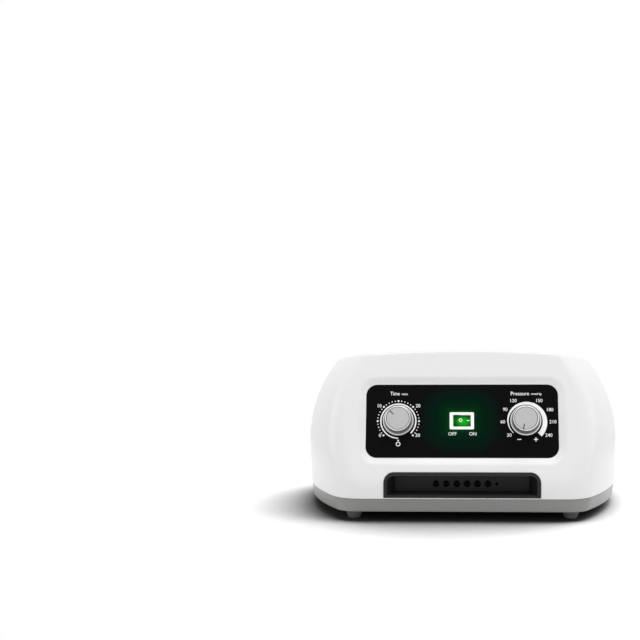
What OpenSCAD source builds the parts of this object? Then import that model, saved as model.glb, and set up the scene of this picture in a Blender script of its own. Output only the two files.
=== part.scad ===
// Free-standing compression therapy pump: a leaning front with two rotary
// controls and a lit rocker switch, and a socket bay for six air hoses.
// Millimetres. +Z up, the front faces -Y, origin under the middle, on the table.

/* [Case] */
// Overall width of the case at its widest
case_w = 285; // [278:1:292]
// Overall depth, from the bay frame to the mains inlet flange
case_d = 200; // [194:1:210]
// Height of the top edge of the front above the table
case_h = 145; // [142:1:152]
// Wall thickness of both halves of the case
wall = 2.8; // [2.2:0.1:3.2]
// Height of the underside of the case above the table
base_z = 8.5; // [7:0.5:10]
// Height of the line where the two halves meet
part_z = 20; // [19:0.5:21]
// Thickness of the floor of the lower half
floor_t = 3; // [2.5:0.1:3.5]

/* [Case form] */
// Lean of the front face from the vertical, in degrees
face_lean = 20.7; // [19:0.1:22]
// Height at which the front starts to lean
ridge_z = 33; // [31:0.5:34]
// Half the height over which the front bends from upright to leaning
ridge_soft = 7; // [4:0.5:8]
// Height of the widest level of the case
waist_z = 56; // [52:1:60]
// Distance of the widest place behind the middle
waist_y = 30; // [20:1:35]
// Radius of the bulged sides, seen from above
plan_r = 240; // [230:5:300]
// Radius of the sides above the waist, seen from the front
side_r = 115; // [112:1:122]
// Radius of the crowned top, seen from the front
crown_r = 960; // [900:10:1200]
// Fall of the top towards the rear, in degrees
top_fall = 5; // [4.5:0.5:7]
// Radius of the front corners at the ridge, seen from above
corner_r = 28; // [24:1:30]
// Radius of the front corners at the top, seen from above
top_corner_r = 10; // [8:1:18]
// Radius of the rear corners, seen from above
rear_corner_r = 24; // [20:1:26]
// Reach of the rounding between the walls and the top
edge_r = 2.5; // [2:0.5:5]

/* [Control panel] */
// Width of the black panel
panel_w = 166; // [162:1:168]
// Height of the panel along the slope
panel_h = 65; // [62:1:66]
// Thickness of the panel
panel_t = 2; // [1.6:0.1:2.4]
// Corner radius of the panel
panel_r = 9.5; // [7:0.5:12]
// Distance of the panel's middle above the ridge, along the slope
panel_up = 56; // [54:0.5:58]
// Depth of the panel below the face
recess_d = 2.5; // [2:0.1:3]
// Width of the sloped border round the panel
recess_w = 6.5; // [5:0.5:7]
// Width of the ledge that the panel lies on
ledge_w = 6; // [4:0.5:7]

/* [Rotary controls] */
// Distance of each knob from the middle of the panel
knob_x = 55; // [52:1:57]
// Diameter of the skirt of a knob
knob_d = 27; // [25:0.5:29]
// Diameter of the grip of a knob
grip_d = 23; // [21:0.5:24]
// Height of the top of a knob above the panel
knob_h = 11; // [10:0.5:13]
// Gap between a knob and the panel
knob_gap = 0.8; // [0.5:0.1:1.2]
// Diameter of a control shaft
shaft_d = 6; // [5.5:0.1:6.4]
// Diameter of the bush that a shaft turns in
bush_d = 9; // [8.6:0.1:9.6]
// Height of a bush above the panel
bush_h = 3.2; // [3:0.1:3.5]
// Width across the flats of a bush nut
nut_af = 12; // [11.5:0.1:13]
// Thickness of a bush nut
nut_t = 2.2; // [1.8:0.1:2.6]

/* [Timer] */
// Width and height of the timer's case
timer_size = 42; // [38:1:44]
// Depth of the timer's case behind the panel
timer_depth = 22; // [20:1:24]
// Diameter of the switching cam
cam_d = 30; // [26:1:32]

/* [Pressure regulator] */
// Diameter of the regulator's barrel
reg_d = 28; // [26:1:32]
// Length of the barrel behind the panel
reg_l = 34; // [33:1:38]
// Bore of the barrel
reg_bore = 20; // [18:0.5:21]
// Diameter of the adjusting screw
screw_d = 8; // [7:0.1:8.4]
// Travel of the spring follower over the knob's whole turn
reg_travel = 3; // [2:0.5:4]
// Diameter of the regulator spring, at the middle of its wire
spring_d = 13; // [12:0.5:14]
// Thickness of the spring wire
spring_wire = 1.6; // [1.2:0.1:1.8]

/* [Switch] */
// Width of the switch's bezel
switch_w = 21; // [20:0.5:23]
// Height of the switch's bezel
switch_h = 15; // [14.5:0.5:17]
// Thickness of the bezel in front of the panel
bezel_t = 1.5; // [1.2:0.1:2]
// Depth of the switch behind the front of the panel
switch_depth = 14; // [13:0.5:16]
// Width of the rocker
rocker_w = 15; // [14.5:0.1:15.4]
// Height of the rocker
rocker_h = 10; // [9.6:0.1:10.2]
// Tilt of the rocker to either side, in degrees
rocker_tilt = 10; // [8:0.5:12]

/* [Hose bay] */
// Width of the bay's frame
bay_w = 134; // [130:1:137]
// Height of the top of the frame above the table
bay_top = 42.4; // [41.5:0.1:43]
// Height of the strip of case left under the frame
bay_rail = 1.2; // [1:0.1:1.6]
// Width of the frame
bay_lip = 2.8; // [2.4:0.1:3.2]
// Thickness of the bay's walls
bay_wall = 2; // [1.6:0.1:2.4]
// Depth of the bay
bay_depth = 20; // [18:0.5:21]
// Radius of the upper corners of the frame
bay_corner = 8.5; // [7:0.5:10]
// Number of hose sockets
port_count = 6; // [4:1:6]
// Distance between hose sockets
port_pitch = 9; // [8.8:0.1:9.4]
// Bore of a hose socket
port_d = 5.8; // [5:0.1:6]
// Height of the sockets above the table
port_z = 30; // [29.5:0.1:30.5]
// Diameter of the key hole beside the sockets
key_d = 2.6; // [2:0.1:3]
// Depth of the manifold behind the bay
manifold_t = 11; // [10:0.5:13]

/* [Air tubing] */
// Outside diameter of a tube nipple
nipple_d = 4; // [3.6:0.1:4.2]
// Length of a tube nipple
nipple_l = 8; // [7:0.5:9]
// Outside diameter of the air tubes
tube_d = 7; // [6.6:0.1:7.4]
// Bore of the air tubes
tube_bore = 4.8; // [4.6:0.1:5]

/* [Air distributor] */
// Distance of the distributor's axis behind the middle
dist_y = 14; // [10:1:20]
// Width of the distributor's body
dist_w = 66; // [64:1:70]
// Diameter of the turning valve disc
disc_d = 53.4; // [52:0.2:54]
// Diameter of the motor
motor_d = 49; // [46:1:50]
// Height of the motor
motor_h = 20; // [18:1:24]
// Diameter of the motor's output shaft
motor_shaft_d = 7; // [6:0.1:7.4]

/* [Compressor] */
// Distance of the compressor's axis from the left side of the case
comp_x = 58.5; // [54.5:1:60.5]
// Distance of the compressor's middle from the rear wall
comp_y = 77.5; // [73.5:1:83.5]
// Length of the compressor's bed plate
bed_l = 100; // [98:1:104]
// Thickness of the bed plate and its brackets
bed_t = 2.5; // [2:0.1:3]
// Height of the bed plate's underside above the floor of the case
mount_h = 10.5; // [9.5:0.5:12]
// Width and height of a pump head
head_w = 46; // [44:1:48]
// Length of a pump head
head_l = 20; // [18:1:21]
// Diameter of a diaphragm
diaphragm_d = 42; // [40:0.5:43]
// Travel of the armature to either side
stroke = 1.2; // [0.8:0.1:1.5]

/* [Mains inlet] */
// Distance of the inlet's middle from the right side of the case
inlet_x = 57.5; // [54.5:1:62.5]
// Height of the inlet's middle above the table
inlet_z = 62; // [58:1:66]
// Width of the inlet's flange
flange_w = 34; // [32:1:36]
// Height of the inlet's flange
flange_h = 60; // [58:1:64]
// Thickness of the flange
flange_t = 2.5; // [2:0.1:3]
// Depth of the inlet's body behind the wall
inlet_depth = 24; // [22:1:26]

/* [Feet and screws] */
// Diameter of a foot where it meets the case
foot_d = 15; // [14:0.5:17]
// Diameter of a foot on the table
foot_tip_d = 10.5; // [9.5:0.5:12]
// Distance of the feet from the sides of the case
foot_x = 48.5; // [45.5:1:50.5]
// Distance of the feet from the front and from the rear of the case
foot_y = 22; // [20:1:24]
// Shank diameter of the case screws
case_screw_d = 3.9; // [3.5:0.1:4.1]

/* [Fits] */
// Clearance between pieces that are fixed to each other
fit = 0.2; // [0.1:0.05:0.25]
// Radial clearance of a shaft in its bore
run = 0.05; // [0.03:0.01:0.08]
// Gap between pieces that move past each other
gap = 0.3; // [0.2:0.05:0.4]

/* [Hidden] */
$fn = 48;
eps = 0.01;

// Places that several pieces share
bay_proud = 0.5;
front_y = bay_proud - case_d/2;
rear_y = case_d/2 - flange_t;
floor_z = base_z + floor_t;
panel_z = ridge_z + panel_up*cos(face_lean);
tube_clear = (tube_bore - nipple_d)/2;
comp_at = [comp_x - case_w/2, rear_y - comp_y];
inlet_at = case_w/2 - inlet_x;

// ---- Form of the case ----
// The case is a stack of rings. A ring runs round the plan of the case at one
// height: straight front, round corner, bulged side, round corner, straight rear.
straight_n = 4;
corner_n = 7;
side_n = 9;
rear_n = 5;
half_n = 2*straight_n + corner_n + side_n + rear_n;
top_y = face_y(case_h);
middle_y = (top_y + rear_y)/2;

function face_rise(u) = u < -ridge_soft ? 0 : u > ridge_soft ? u : pow(u + ridge_soft, 2)/(4*ridge_soft);
function face_y(z) = front_y + tan(face_lean)*face_rise(z - ridge_z);
function side_inset(z) = z > waist_z
    ? side_r - sqrt(pow(side_r, 2) - pow(min(z - waist_z, side_r*0.98), 2))
    : (waist_z - z)*0.03;
function top_z(x, y) = case_h - x*x/(2*crown_r) - (y - top_y)*tan(top_fall);
// Half width of the case at a depth y and height z
function side_x(y, z) = case_w/2 - side_inset(z) - plan_r + sqrt(pow(plan_r, 2) - pow(y - waist_y, 2));
// Front corners tighten towards the top
function front_r(z) = corner_r - (corner_r - top_corner_r)*max(0, z - ridge_z)/(case_h - ridge_z);

// Point i of a half ring at height z, e inside the outer surface; tight is taken off the corner radius
function plan_pt(i, z, e, tight = 0) = let(
    r = plan_r - e, cx = case_w/2 - side_inset(z) - plan_r,
    yf = face_y(z) + e/cos(face_lean), yb = rear_y - e,
    rf = front_r(z) - e - tight, rb = rear_corner_r - e,
    ycf = yf + rf, ycb = yb - rb,
    xcf = cx + sqrt(pow(r - rf, 2) - pow(ycf - waist_y, 2)),
    xcb = cx + sqrt(pow(r - rb, 2) - pow(ycb - waist_y, 2)),
    af = atan2(ycf - waist_y, xcf - cx), ab = atan2(ycb - waist_y, xcb - cx),
    j = i - straight_n, k = j - corner_n, m = k - side_n, q = m - rear_n)
    j < 0 ? [xcf*i/straight_n, yf]
    : k <= 0 ? let(a = -90 + (af + 90)*j/corner_n) [xcf + rf*cos(a), ycf + rf*sin(a)]
    : m <= 0 ? let(a = af + (ab - af)*k/side_n) [cx + r*cos(a), waist_y + r*sin(a)]
    : q <= 0 ? let(a = ab + (90 - ab)*m/rear_n) [xcb + rb*cos(a), ycb + rb*sin(a)]
    : [xcb*(straight_n - q)/straight_n, yb];

// Left and right halves of a ring, from the point function of the right half
function mirrored(half) = concat(half,
    [for (i = [len(half) - 2:-1:1]) [-half[i].x, half[i].y, half[i].z]]);

// A wall point at the fraction t of the height up to the top surface. The height
// and the plan depend on each other, so the point settles in four steps.
function wall_pt(i, t, e, z, n = 4) = let(p = plan_pt(i, z, e))
    n == 0 ? [p.x, p.y, z] : wall_pt(i, t, e, part_z + t*(top_z(p.x, p.y) - e - part_z), n - 1);
function wall_ring(t, e) = mirrored([for (i = [0:half_n]) wall_pt(i, t, e, case_h*t)]);

// A ring on the top surface, shrunk to the share k about the middle of the top
function cap_pt(p, k, e) = let(x = p.x*k, y = middle_y + (p.y - middle_y)*k) [x, y, top_z(x, y) - e];
function cap_ring(k, e) = [for (p = wall_ring(1, e)) cap_pt(p, k, e)];

// The rounding between wall and top is a quadratic curve with its corner on the edge
function edge_share(p) = 1 - edge_r/norm([p.x, p.y - middle_y]);
function edge_ring(s, e) = let(
    low = wall_ring(1 - edge_r/(case_h - part_z), e), corner = wall_ring(1, e))
    [for (i = [0:len(corner) - 1]) let(top = cap_pt(corner[i], edge_share(corner[i]), e))
        pow(1 - s, 2)*low[i] + 2*s*(1 - s)*corner[i] + s*s*top];

// Closed skin through a list of rings of equal length, with a point at each end
module skin(first, rings, last) {
    n = len(rings[0]);
    m = len(rings);
    points = concat([first], [for (r = rings) each r], [last]);
    end = len(points) - 1;
    faces = concat(
        [for (i = [0:n - 1]) [0, 1 + i, 1 + (i + 1)%n]],
        [for (j = [0:m - 2], i = [0:n - 1])
            let(a = 1 + j*n + i, b = 1 + j*n + (i + 1)%n) [a, a + n, b + n]],
        [for (j = [0:m - 2], i = [0:n - 1]) let(a = 1 + j*n + i, b = 1 + j*n + (i + 1)%n) [a, b + n, b]],
        [for (i = [0:n - 1]) [end, end - n + (i + 1)%n, end - n + i]]);
    polyhedron(points = points, faces = faces, convexity = 6);
}

// Level fractions of the rings: close together round the ridge
outer_levels = [0, 0.04, 0.08, 0.12, 0.16, 0.22, 0.32, 0.42, 0.52, 0.62, 0.72, 0.8, 0.87, 0.92];
inner_levels = [0.92, 0.8, 0.66, 0.5, 0.34, 0.22, 0.16, 0.1, 0.05, 0];
cap_shares = [0.82, 0.6, 0.3];

module case_shell() skin(
    [0, middle_y, top_z(0, middle_y) - wall],
    concat(
        [for (k = [0.3, 0.7]) cap_ring(k, wall)],
        [for (s = [1, 0.5, 0]) edge_ring(s, wall)],
        [for (t = inner_levels) wall_ring(t, wall)],
        [for (t = outer_levels) wall_ring(t, 0)],
        [for (s = [0, 0.25, 0.5, 0.75, 1]) edge_ring(s, 0)],
        [for (i = [0:len(cap_shares) - 1]) cap_ring(cap_shares[i], 0)]),
    [0, middle_y, top_z(0, middle_y)]);

// ---- Helpers ----
module both() {
    children();
    mirror([1, 0, 0]) children();
}
module rounded_rect(w, h, r) {
    for (x = [-1, 1], y = [-1, 1]) translate([x*(w/2 - r), y*(h/2 - r)]) circle(r);
    square([w - 2*r, h], center = true);
    square([w, h - 2*r], center = true);
}
// Local frame on the front of the panel: X right, Y up the slope, Z out of the panel
module at_panel(x = 0) translate([0, face_y(panel_z), panel_z]) rotate([90 - face_lean, 0, 0])
    translate([x, 0, -recess_d]) children();
function panel_point(p) = let(d = p.z - recess_d) [p.x,
    face_y(panel_z) + p.y*sin(face_lean) - d*cos(face_lean),
    panel_z + p.y*cos(face_lean) + d*sin(face_lean)];
module tube_nipple() {
    difference() {
        union() {
            cylinder(h = nipple_l, d = nipple_d);
            translate([0, 0, nipple_l - 3]) cylinder(h = 2, d1 = nipple_d + 0.5, d2 = nipple_d);
        }
        translate([0, 0, -eps]) cylinder(h = nipple_l + 1, d = nipple_d - 1.4);
    }
}
// Screw with its head on the plane z = 0 and its shank pointing down
module screw(shank_d, length, head_d, head_h) {
    cylinder(h = head_h, d = head_d);
    translate([0, 0, -length]) cylinder(h = length + eps, d = shank_d);
}
// Point at s on a cubic curve, and the rings of a tube swept along it without a twist: each ring starts in
// the direction of the ring before, laid square to the path
function curve_at(c, s) = pow(1 - s, 3)*c[0] + 3*s*pow(1 - s, 2)*c[1] + 3*s*s*(1 - s)*c[2] + pow(s, 3)*c[3];
function unit(v) = v/norm(v);
function sweep_path(c, n) = [for (k = [0:n]) curve_at(c, k/n)];
function path_dir(path, k) = unit(path[min(k + 1, len(path) - 1)] - path[max(k - 1, 0)]);
function square_to(v, d) = unit(v - (v*d)*d);
function ring_starts(path, v, k = 0) = k == len(path) ? [] :
    let(u = square_to(v, path_dir(path, k))) concat([u], ring_starts(path, u, k + 1));
function ring_about(p, d, u, r, sides) = let(w = cross(d, u))
    [for (i = [0:sides - 1]) p + r*(cos(360*i/sides)*u + sin(360*i/sides)*w)];
module swept_rod(path, d, sides) {
    starts = ring_starts(path, abs(path_dir(path, 0).x) > 0.9 ? [0, 1, 0] : [1, 0, 0]);
    skin(path[0],
        [for (k = [0:len(path) - 1]) ring_about(path[k], path_dir(path, k), starts[k], d/2, sides)],
        path[len(path) - 1]);
}
// A flexible tube: its ends are straight for the length of a nipple
module air_tube(c) {
    sides = 10;
    u = unit(c[1] - c[0]);
    v = unit(c[2] - c[3]);
    path = concat([c[0]], sweep_path([c[0] + nipple_l*u, c[1], c[2], c[3] + nipple_l*v], 14), [c[3]]);
    difference() {
        swept_rod(path, tube_d, sides);
        swept_rod(concat([c[0] - 0.5*u], [for (k = [1:len(path) - 2]) path[k]], [c[3] - 0.5*v]),
            tube_bore, sides);
    }
}

// ---- Case ----
pillar_d = 10;
pillar_front = [case_w/2 - 38, front_y + 35.5];
pillar_rear = [case_w/2 - 24.5, rear_y - 20];
pillar_spots = [pillar_front, pillar_rear];
pillar_z = part_z + 8;
pillar_top = 60;
boss_head_z = 16;
panel_ledge_t = 2;
bay_half = bay_w/2;
bay_low = part_z + bay_rail;
bay_back_y = front_y + bay_depth;

module panel_recess() {
    low_w = panel_w + 1;
    high_w = panel_w + 2*recess_w;
    hull() {
        translate([0, 0, -eps]) linear_extrude(0.1)
            rounded_rect(low_w, panel_h + 1, panel_r + 0.5, $fn = 32);
        translate([0, 0, recess_d]) linear_extrude(0.1)
            rounded_rect(high_w, panel_h + 2*recess_w, panel_r + recess_w, $fn = 32);
    }
}
module panel_backing() translate([0, 0, -panel_t - panel_ledge_t])
    linear_extrude(panel_t + panel_ledge_t + 0.6)
        rounded_rect(panel_w + 2*wall + 1, panel_h + 2*wall + 1, panel_r + wall);
// Outline of the bay seen from the front, grown by g
module bay_outline(g) {
    w = bay_half + g;
    low = bay_low - g;
    high = bay_top + g;
    r = bay_corner + g;
    translate([-w, low]) square([2*w, high - low - r]);
    translate([r - w, low]) square([2*(w - r), high - low]);
    for (s = [-1, 1]) translate([s*(w - r), high - r]) circle(r);
}
vent_n = 9;
vent_pitch = 8;
vent_w = 3;
vent_h = 30;
module upper_housing() color("whitesmoke") difference() {
    union() {
        case_shell();
        at_panel() panel_backing();
        both() for (p = pillar_spots) {
            translate([p.x, p.y, pillar_z]) cylinder(h = pillar_top - pillar_z, d = pillar_d);
            translate([p.x, p.y - 1.5, pillar_z + 4])
                cube([side_x(p.y, pillar_top) - wall/2 - p.x, 3, pillar_top - pillar_z - 4]);
        }
    }
    at_panel() {
        panel_recess();
        translate([0, 0, -panel_t]) linear_extrude(panel_t + 1)
            rounded_rect(panel_w + 2*fit, panel_h + 2*fit, panel_r + fit);
        translate([0, 0, -panel_t - panel_ledge_t - 6]) linear_extrude(12)
            rounded_rect(panel_w - 2*ledge_w, panel_h - 2*ledge_w, panel_r - 4);
    }
    translate([0, front_y + 12, 0]) rotate([90, 0, 0]) linear_extrude(20) bay_outline(fit);
    both() for (p = pillar_spots) translate([p.x, p.y, pillar_z - 1])
        cylinder(h = 19, d = case_screw_d + fit);
    translate([inlet_at, rear_y - 6, inlet_z]) {
        rotate([-90, 0, 0]) linear_extrude(12) square([inlet_w + 2*fit, inlet_h + 2*fit], center = true);
        for (s = [-1, 1]) translate([0, 0, s*inlet_screw_z]) rotate([-90, 0, 0]) cylinder(h = 12, d = 2.6);
    }
    for (i = [0:vent_n - 1]) translate([comp_at.x + (i - (vent_n - 1)/2)*vent_pitch, rear_y - 6, inlet_z])
        rotate([-90, 0, 0]) linear_extrude(12) {
            square([vent_w, vent_h - vent_w], center = true);
            for (s = [-1, 1]) translate([0, s*(vent_h - vent_w)/2]) circle(d = vent_w);
        }
}

base_inset = 0.6;
base_chamfer = 0.8;
base_square = 8;
tongue_h = 2.5;
foot_spots = [for (y = [front_y + foot_y, rear_y - foot_y]) [case_w/2 - foot_x, y]];
foot_boss_h = 8;
mount_pin_d = 5;
bay_post = [45, front_y + 12];
dist_post = dist_w/2 - 4.5;
dist_low_z = port_z - 10;
mount_x = head_w/2 + 5;
mount_y = bed_l/2 - 10;
bed_w = 2*mount_x + 10;
module base_shell() {
    tongue_out = wall + 0.25;
    tongue_in = tongue_out + 1.7;
    rings = [[base_z, base_inset + 1 + base_chamfer, base_square],
        [base_z + base_chamfer, base_inset + 1, base_square], [base_z + 4, base_inset + 0.7, base_square/2],
        [part_z, base_inset], [part_z, tongue_out], [part_z + tongue_h, tongue_out],
        [part_z + tongue_h, tongue_in], [floor_z, tongue_in + 0.5]];
    skin([0, middle_y, base_z],
        [for (q = rings) mirrored([for (i = [0:half_n])
            let(p = plan_pt(i, part_z, q[1], len(q) > 2 ? q[2] : 0)) [p.x, p.y, q[0]]])],
        [0, middle_y, floor_z]);
}
module lower_housing() color("gray") difference() {
    union() {
        difference() {
            base_shell();
            translate([-bay_half - 1.5, front_y - 1, part_z]) cube([bay_w + 3, bay_depth + 12, 10]);
        }
        both() {
            for (p = pillar_spots) translate([p.x, p.y, base_z + eps])
                cylinder(h = pillar_z - base_z - eps, d = 11);
            for (p = foot_spots) translate([p.x, p.y, base_z + eps])
                cylinder(h = floor_t + foot_boss_h, d = 8);
            translate([bay_post.x, bay_post.y, base_z + 1]) cylinder(h = bay_low - base_z - 1, d = 8);
        }
        translate([0, dist_y, 0]) for (x = [-1, 1], y = [-1, 1])
            translate([x*dist_post, y*dist_post, base_z + 1]) cylinder(h = dist_low_z - base_z - 1, d = 9);
        for (x = [-1, 1], y = [-1, 1])
            translate([comp_at.x + x*mount_x, comp_at.y + y*mount_y, base_z + 1])
                cylinder(h = floor_t + 2.5, d = mount_pin_d);
    }
    both() {
        for (p = pillar_spots) translate([p.x, p.y, 0]) {
            cylinder(h = boss_head_z, d = 8.5);
            cylinder(h = 40, d = case_screw_d + 0.4);
        }
        for (p = foot_spots) translate([p.x, p.y, 0]) cylinder(h = base_z + 8.5, d = 3.1);
    }
    translate([0, dist_y, 0]) for (x = [-1, 1], y = [-1, 1])
        translate([x*dist_post, y*dist_post, floor_z]) cylinder(h = 20, d = 3.2);
}
module case_screws() color("silver") both() for (p = pillar_spots)
    translate([p.x, p.y, boss_head_z]) rotate([180, 0, 0]) screw(case_screw_d, 28, 7.6, 3);

module feet() color("darkgray") both() for (p = foot_spots) translate([p.x, p.y, 0]) difference() {
    rotate_extrude() polygon(concat([[0, 0], [foot_tip_d/2 - 1, 0]],
        [for (a = [-90:15:-15]) [foot_tip_d/2 - 1 + cos(a), 1 + sin(a)]],
        [[foot_d/2, base_z - 2], [foot_d/2, base_z], [0, base_z]]));
    translate([0, 0, -eps]) cylinder(h = 4.4, d = 6);
    cylinder(h = base_z + 1, d = 3.2);
}
module foot_screws() color("silver") both() for (p = foot_spots)
    translate([p.x, p.y, 4.4 - eps]) rotate([180, 0, 0]) screw(2.9, base_z + 4, 5.6, 2.1);

rating_w = 56;
rating_h = 32;
module rating_plate() color("lightgray") translate([0, rear_y, inlet_z]) rotate([-90, 0, 0])
    linear_extrude(0.4) rounded_rect(rating_w, rating_h, 2);

// ---- Control panel ----
module control_panel() color([0.08, 0.08, 0.08]) at_panel() difference() {
    translate([0, 0, -panel_t]) linear_extrude(panel_t) rounded_rect(panel_w, panel_h, panel_r);
    for (s = [-1, 1]) translate([s*knob_x, 0, -panel_t - 1]) cylinder(h = panel_t + 2, d = bush_d + 2*fit);
    translate([0, 0, -panel_t/2]) cube([switch_w - 2 + 2*fit, switch_h - 2 + 2*fit, panel_t + 2],
        center = true);
}
// Knob for a control shaft: a skirt, a groove, a chamfered grip and a pointer line
pointer_w = 1;
pointer_in = 5;
module knob(pointer_angle) difference() {
    rotate_extrude() polygon([
        [0, knob_gap], [knob_d/2 - 0.5, knob_gap], [knob_d/2, knob_gap + 0.5], [knob_d/2, 3],
            [knob_d/2 - 0.6, 3.6],
        [grip_d/2 - 0.3, 3.6], [grip_d/2 - 0.3, 4.3], [grip_d/2, 4.6], [grip_d/2, knob_h - 1.5],
        [grip_d/2 - 1.5, knob_h], [0, knob_h]]);
    translate([0, 0, -eps]) cylinder(h = bush_h + 0.8, d = nut_af + 7);
    intersection() {
        cylinder(h = knob_h - 1, d = shaft_d + 2*run);
        translate([-5, -5, 0]) cube([10, 5 + shaft_d/2 - 0.5 + run, knob_h]);
    }
    rotate([0, 0, pointer_angle]) translate([pointer_in, -pointer_w/2, knob_h - 0.5])
        cube([knob_d, pointer_w, 1]);
}
// Control shaft down to z = low, with a flat for the knob
module control_shaft(low) difference() {
    translate([0, 0, low]) cylinder(h = knob_h - 1.2 - low, d = shaft_d);
    translate([-5, shaft_d/2 - 0.5, bush_h + 0.6]) cube([10, 5, knob_h]);
}
module bush() {
    translate([0, 0, -panel_t - eps]) cylinder(h = panel_t + bush_h + eps, d = bush_d);
}
module bush_nut() difference() {
    cylinder(h = nut_t, d = nut_af/cos(30), $fn = 6);
    translate([0, 0, -1]) cylinder(h = nut_t + 2, d = bush_d + fit);
}

// ---- Timer ----
timer_back = -panel_t - timer_depth;
timer_wall = 1.5;
timer_pivot_d = 4;
timer_rest = 135;
module timer_body() color("ivory") at_panel(-knob_x) difference() {
    union() {
        translate([-timer_size/2, -timer_size/2, timer_back]) cube([timer_size, timer_size, timer_depth]);
        bush();
    }
    translate([timer_wall - timer_size/2, timer_wall - timer_size/2, timer_back - 1])
        cube([timer_size - 2*timer_wall, timer_size - 2*timer_wall, timer_depth - 1]);
    translate([0, 0, timer_back]) cylinder(h = 60, d = shaft_d + 2*run);
}
module timer_cover() color("ivory") at_panel(-knob_x) difference() {
    translate([-timer_size/2, -timer_size/2, timer_back - 1.6]) cube([timer_size, timer_size, 1.6]);
    translate([0, 0, timer_back - 5]) cylinder(h = 10, d = timer_pivot_d + 2*run);
}
module timer_nut() color("silver") at_panel(-knob_x) bush_nut();
module timer_shaft() color("silver") at_panel(-knob_x) {
    control_shaft(-panel_t - 4);
    difference() {
        translate([0, 0, -panel_t - 9]) cylinder(h = 5, d = cam_d);
        translate([cam_d/2 - 3, -4, -panel_t - 10]) cube([6, 8, 7]);
    }
    translate([0, 0, -panel_t - 15]) cylinder(h = 3, d = cam_d - 10);
    translate([0, 0, timer_back + 3]) cylinder(h = timer_depth - 7, d = shaft_d);
    translate([0, 0, timer_back - 1.5]) cylinder(h = 6, d = timer_pivot_d);
}
module timer_knob() color("silver") at_panel(-knob_x) knob(timer_rest);
timer_tabs = [-8, 8];
timer_tab_l = 6.3;
timer_tab_y = 6 - timer_size/2;
module timer_terminals() color("goldenrod") at_panel(-knob_x) for (x = timer_tabs)
    translate([x - 2.4, timer_tab_y, timer_back - 1.6 - timer_tab_l]) cube([4.8, 0.8, timer_tab_l]);

// ---- Pressure regulator ----
reg_back = -panel_t - reg_l;
collar_z = -panel_t - 3 - gap;
follower_t = 5;
follower_z = collar_z - 2 - 1.5 - follower_t;
plug_z = reg_back + 3.2;
plug_t = 2;
pressure_rest = 255;
key_w = 2;
module regulator_body() color("dimgray") at_panel(knob_x) {
    difference() {
        union() {
            translate([0, 0, reg_back]) cylinder(h = reg_l, d = reg_d);
            bush();
        }
        translate([0, 0, reg_back - 1]) cylinder(h = reg_l - 2, d = reg_bore);
        translate([0, 0, reg_back]) cylinder(h = 60, d = shaft_d + 2*run);
    }
    translate([-key_w/2, reg_bore/2 - 1.6, reg_back + 6]) cube([key_w, 2.2, reg_l - 12]);
}
reg_cap_t = 4;
reg_vent_x = 7;
module regulator_cap() color("dimgray") at_panel(knob_x) difference() {
    union() {
        translate([0, 0, reg_back - reg_cap_t]) cylinder(h = reg_cap_t, d = reg_d);
        translate([0, 0, reg_back - reg_cap_t + eps]) rotate([180, 0, 0]) tube_nipple();
        translate([0, 0, reg_back - eps]) cylinder(h = 2 + eps, d = 8);
    }
    translate([0, 0, reg_back - reg_cap_t - 1]) cylinder(h = 12, d = nipple_d - 1.4);
    translate([reg_vent_x, 0, reg_back - reg_cap_t - 1]) cylinder(h = 12, d = 2.4);
}
module regulator_nut() color("silver") at_panel(knob_x) bush_nut();
module pressure_shaft() color("silver") at_panel(knob_x) {
    control_shaft(collar_z - 1);
    translate([0, 0, collar_z - 2]) cylinder(h = 2, d = 12);
    translate([0, 0, follower_z - reg_travel - 1])
        cylinder(h = collar_z - follower_z + reg_travel, d = screw_d);
}
module pressure_knob() color("silver") at_panel(knob_x) knob(pressure_rest);
module spring_follower() color("goldenrod") at_panel(knob_x) difference() {
    translate([0, 0, follower_z]) cylinder(h = follower_t, d = reg_bore - 2*run);
    translate([0, 0, follower_z - 1]) cylinder(h = follower_t + 2, d = screw_d + 2*run);
    translate([-key_w/2 - gap, reg_bore/2 - 1.6 - gap, follower_z - 1])
        cube([key_w + 2*gap, 4, follower_t + 2]);
}
module regulator_spring() color("silver") at_panel(knob_x) {
    turns = 5;
    steps = 12*turns;
    low = plug_z + plug_t + spring_wire/2;
    rise = follower_z - spring_wire/2 - low;
    swept_rod([for (k = [0:steps]) [spring_d/2*cos(30*k), spring_d/2*sin(30*k), low + rise*k/steps]],
        spring_wire, 6);
}
module relief_valve() color("goldenrod") at_panel(knob_x) {
    translate([0, 0, plug_z]) cylinder(h = plug_t, d = reg_bore - 3);
    translate([0, 0, reg_back + 2]) cylinder(h = plug_z - reg_back - 2 + eps, d = 6);
}

// ---- Switch ----
pivot_z = -2.1;
pivot_d = 2.6;
rocker_rise = 2.6;
opening_w = rocker_w + 0.4 + gap;
opening_h = rocker_h + 0.4;
module switch_body() color("white") at_panel() difference() {
    union() {
        linear_extrude(bezel_t) rounded_rect(switch_w, switch_h, 1);
        translate([1 - switch_w/2, 1 - switch_h/2, -switch_depth])
            cube([switch_w - 2, switch_h - 2, switch_depth + eps]);
    }
    translate([-opening_w/2, -opening_h/2, 2 - switch_depth])
        cube([opening_w, opening_h, switch_depth + 5]);
    translate([0, 0, pivot_z]) rotate([90, 0, 0])
        cylinder(h = switch_h - 2.8, d = pivot_d + 2*run, center = true);
}
module rocker_form() rotate([90, 0, 0]) linear_extrude(rocker_h, center = true) intersection() {
    circle(r = rocker_w/2 + 0.2);
    polygon([[-rocker_w/2, rocker_rise + rocker_w/2*tan(rocker_tilt)], [0, rocker_rise],
        [rocker_w/2, rocker_rise + rocker_w/2*tan(rocker_tilt)], [rocker_w/2, -1], [3, -3.5], [-3, -3.5],
        [-rocker_w/2, -1]]);
}
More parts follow.
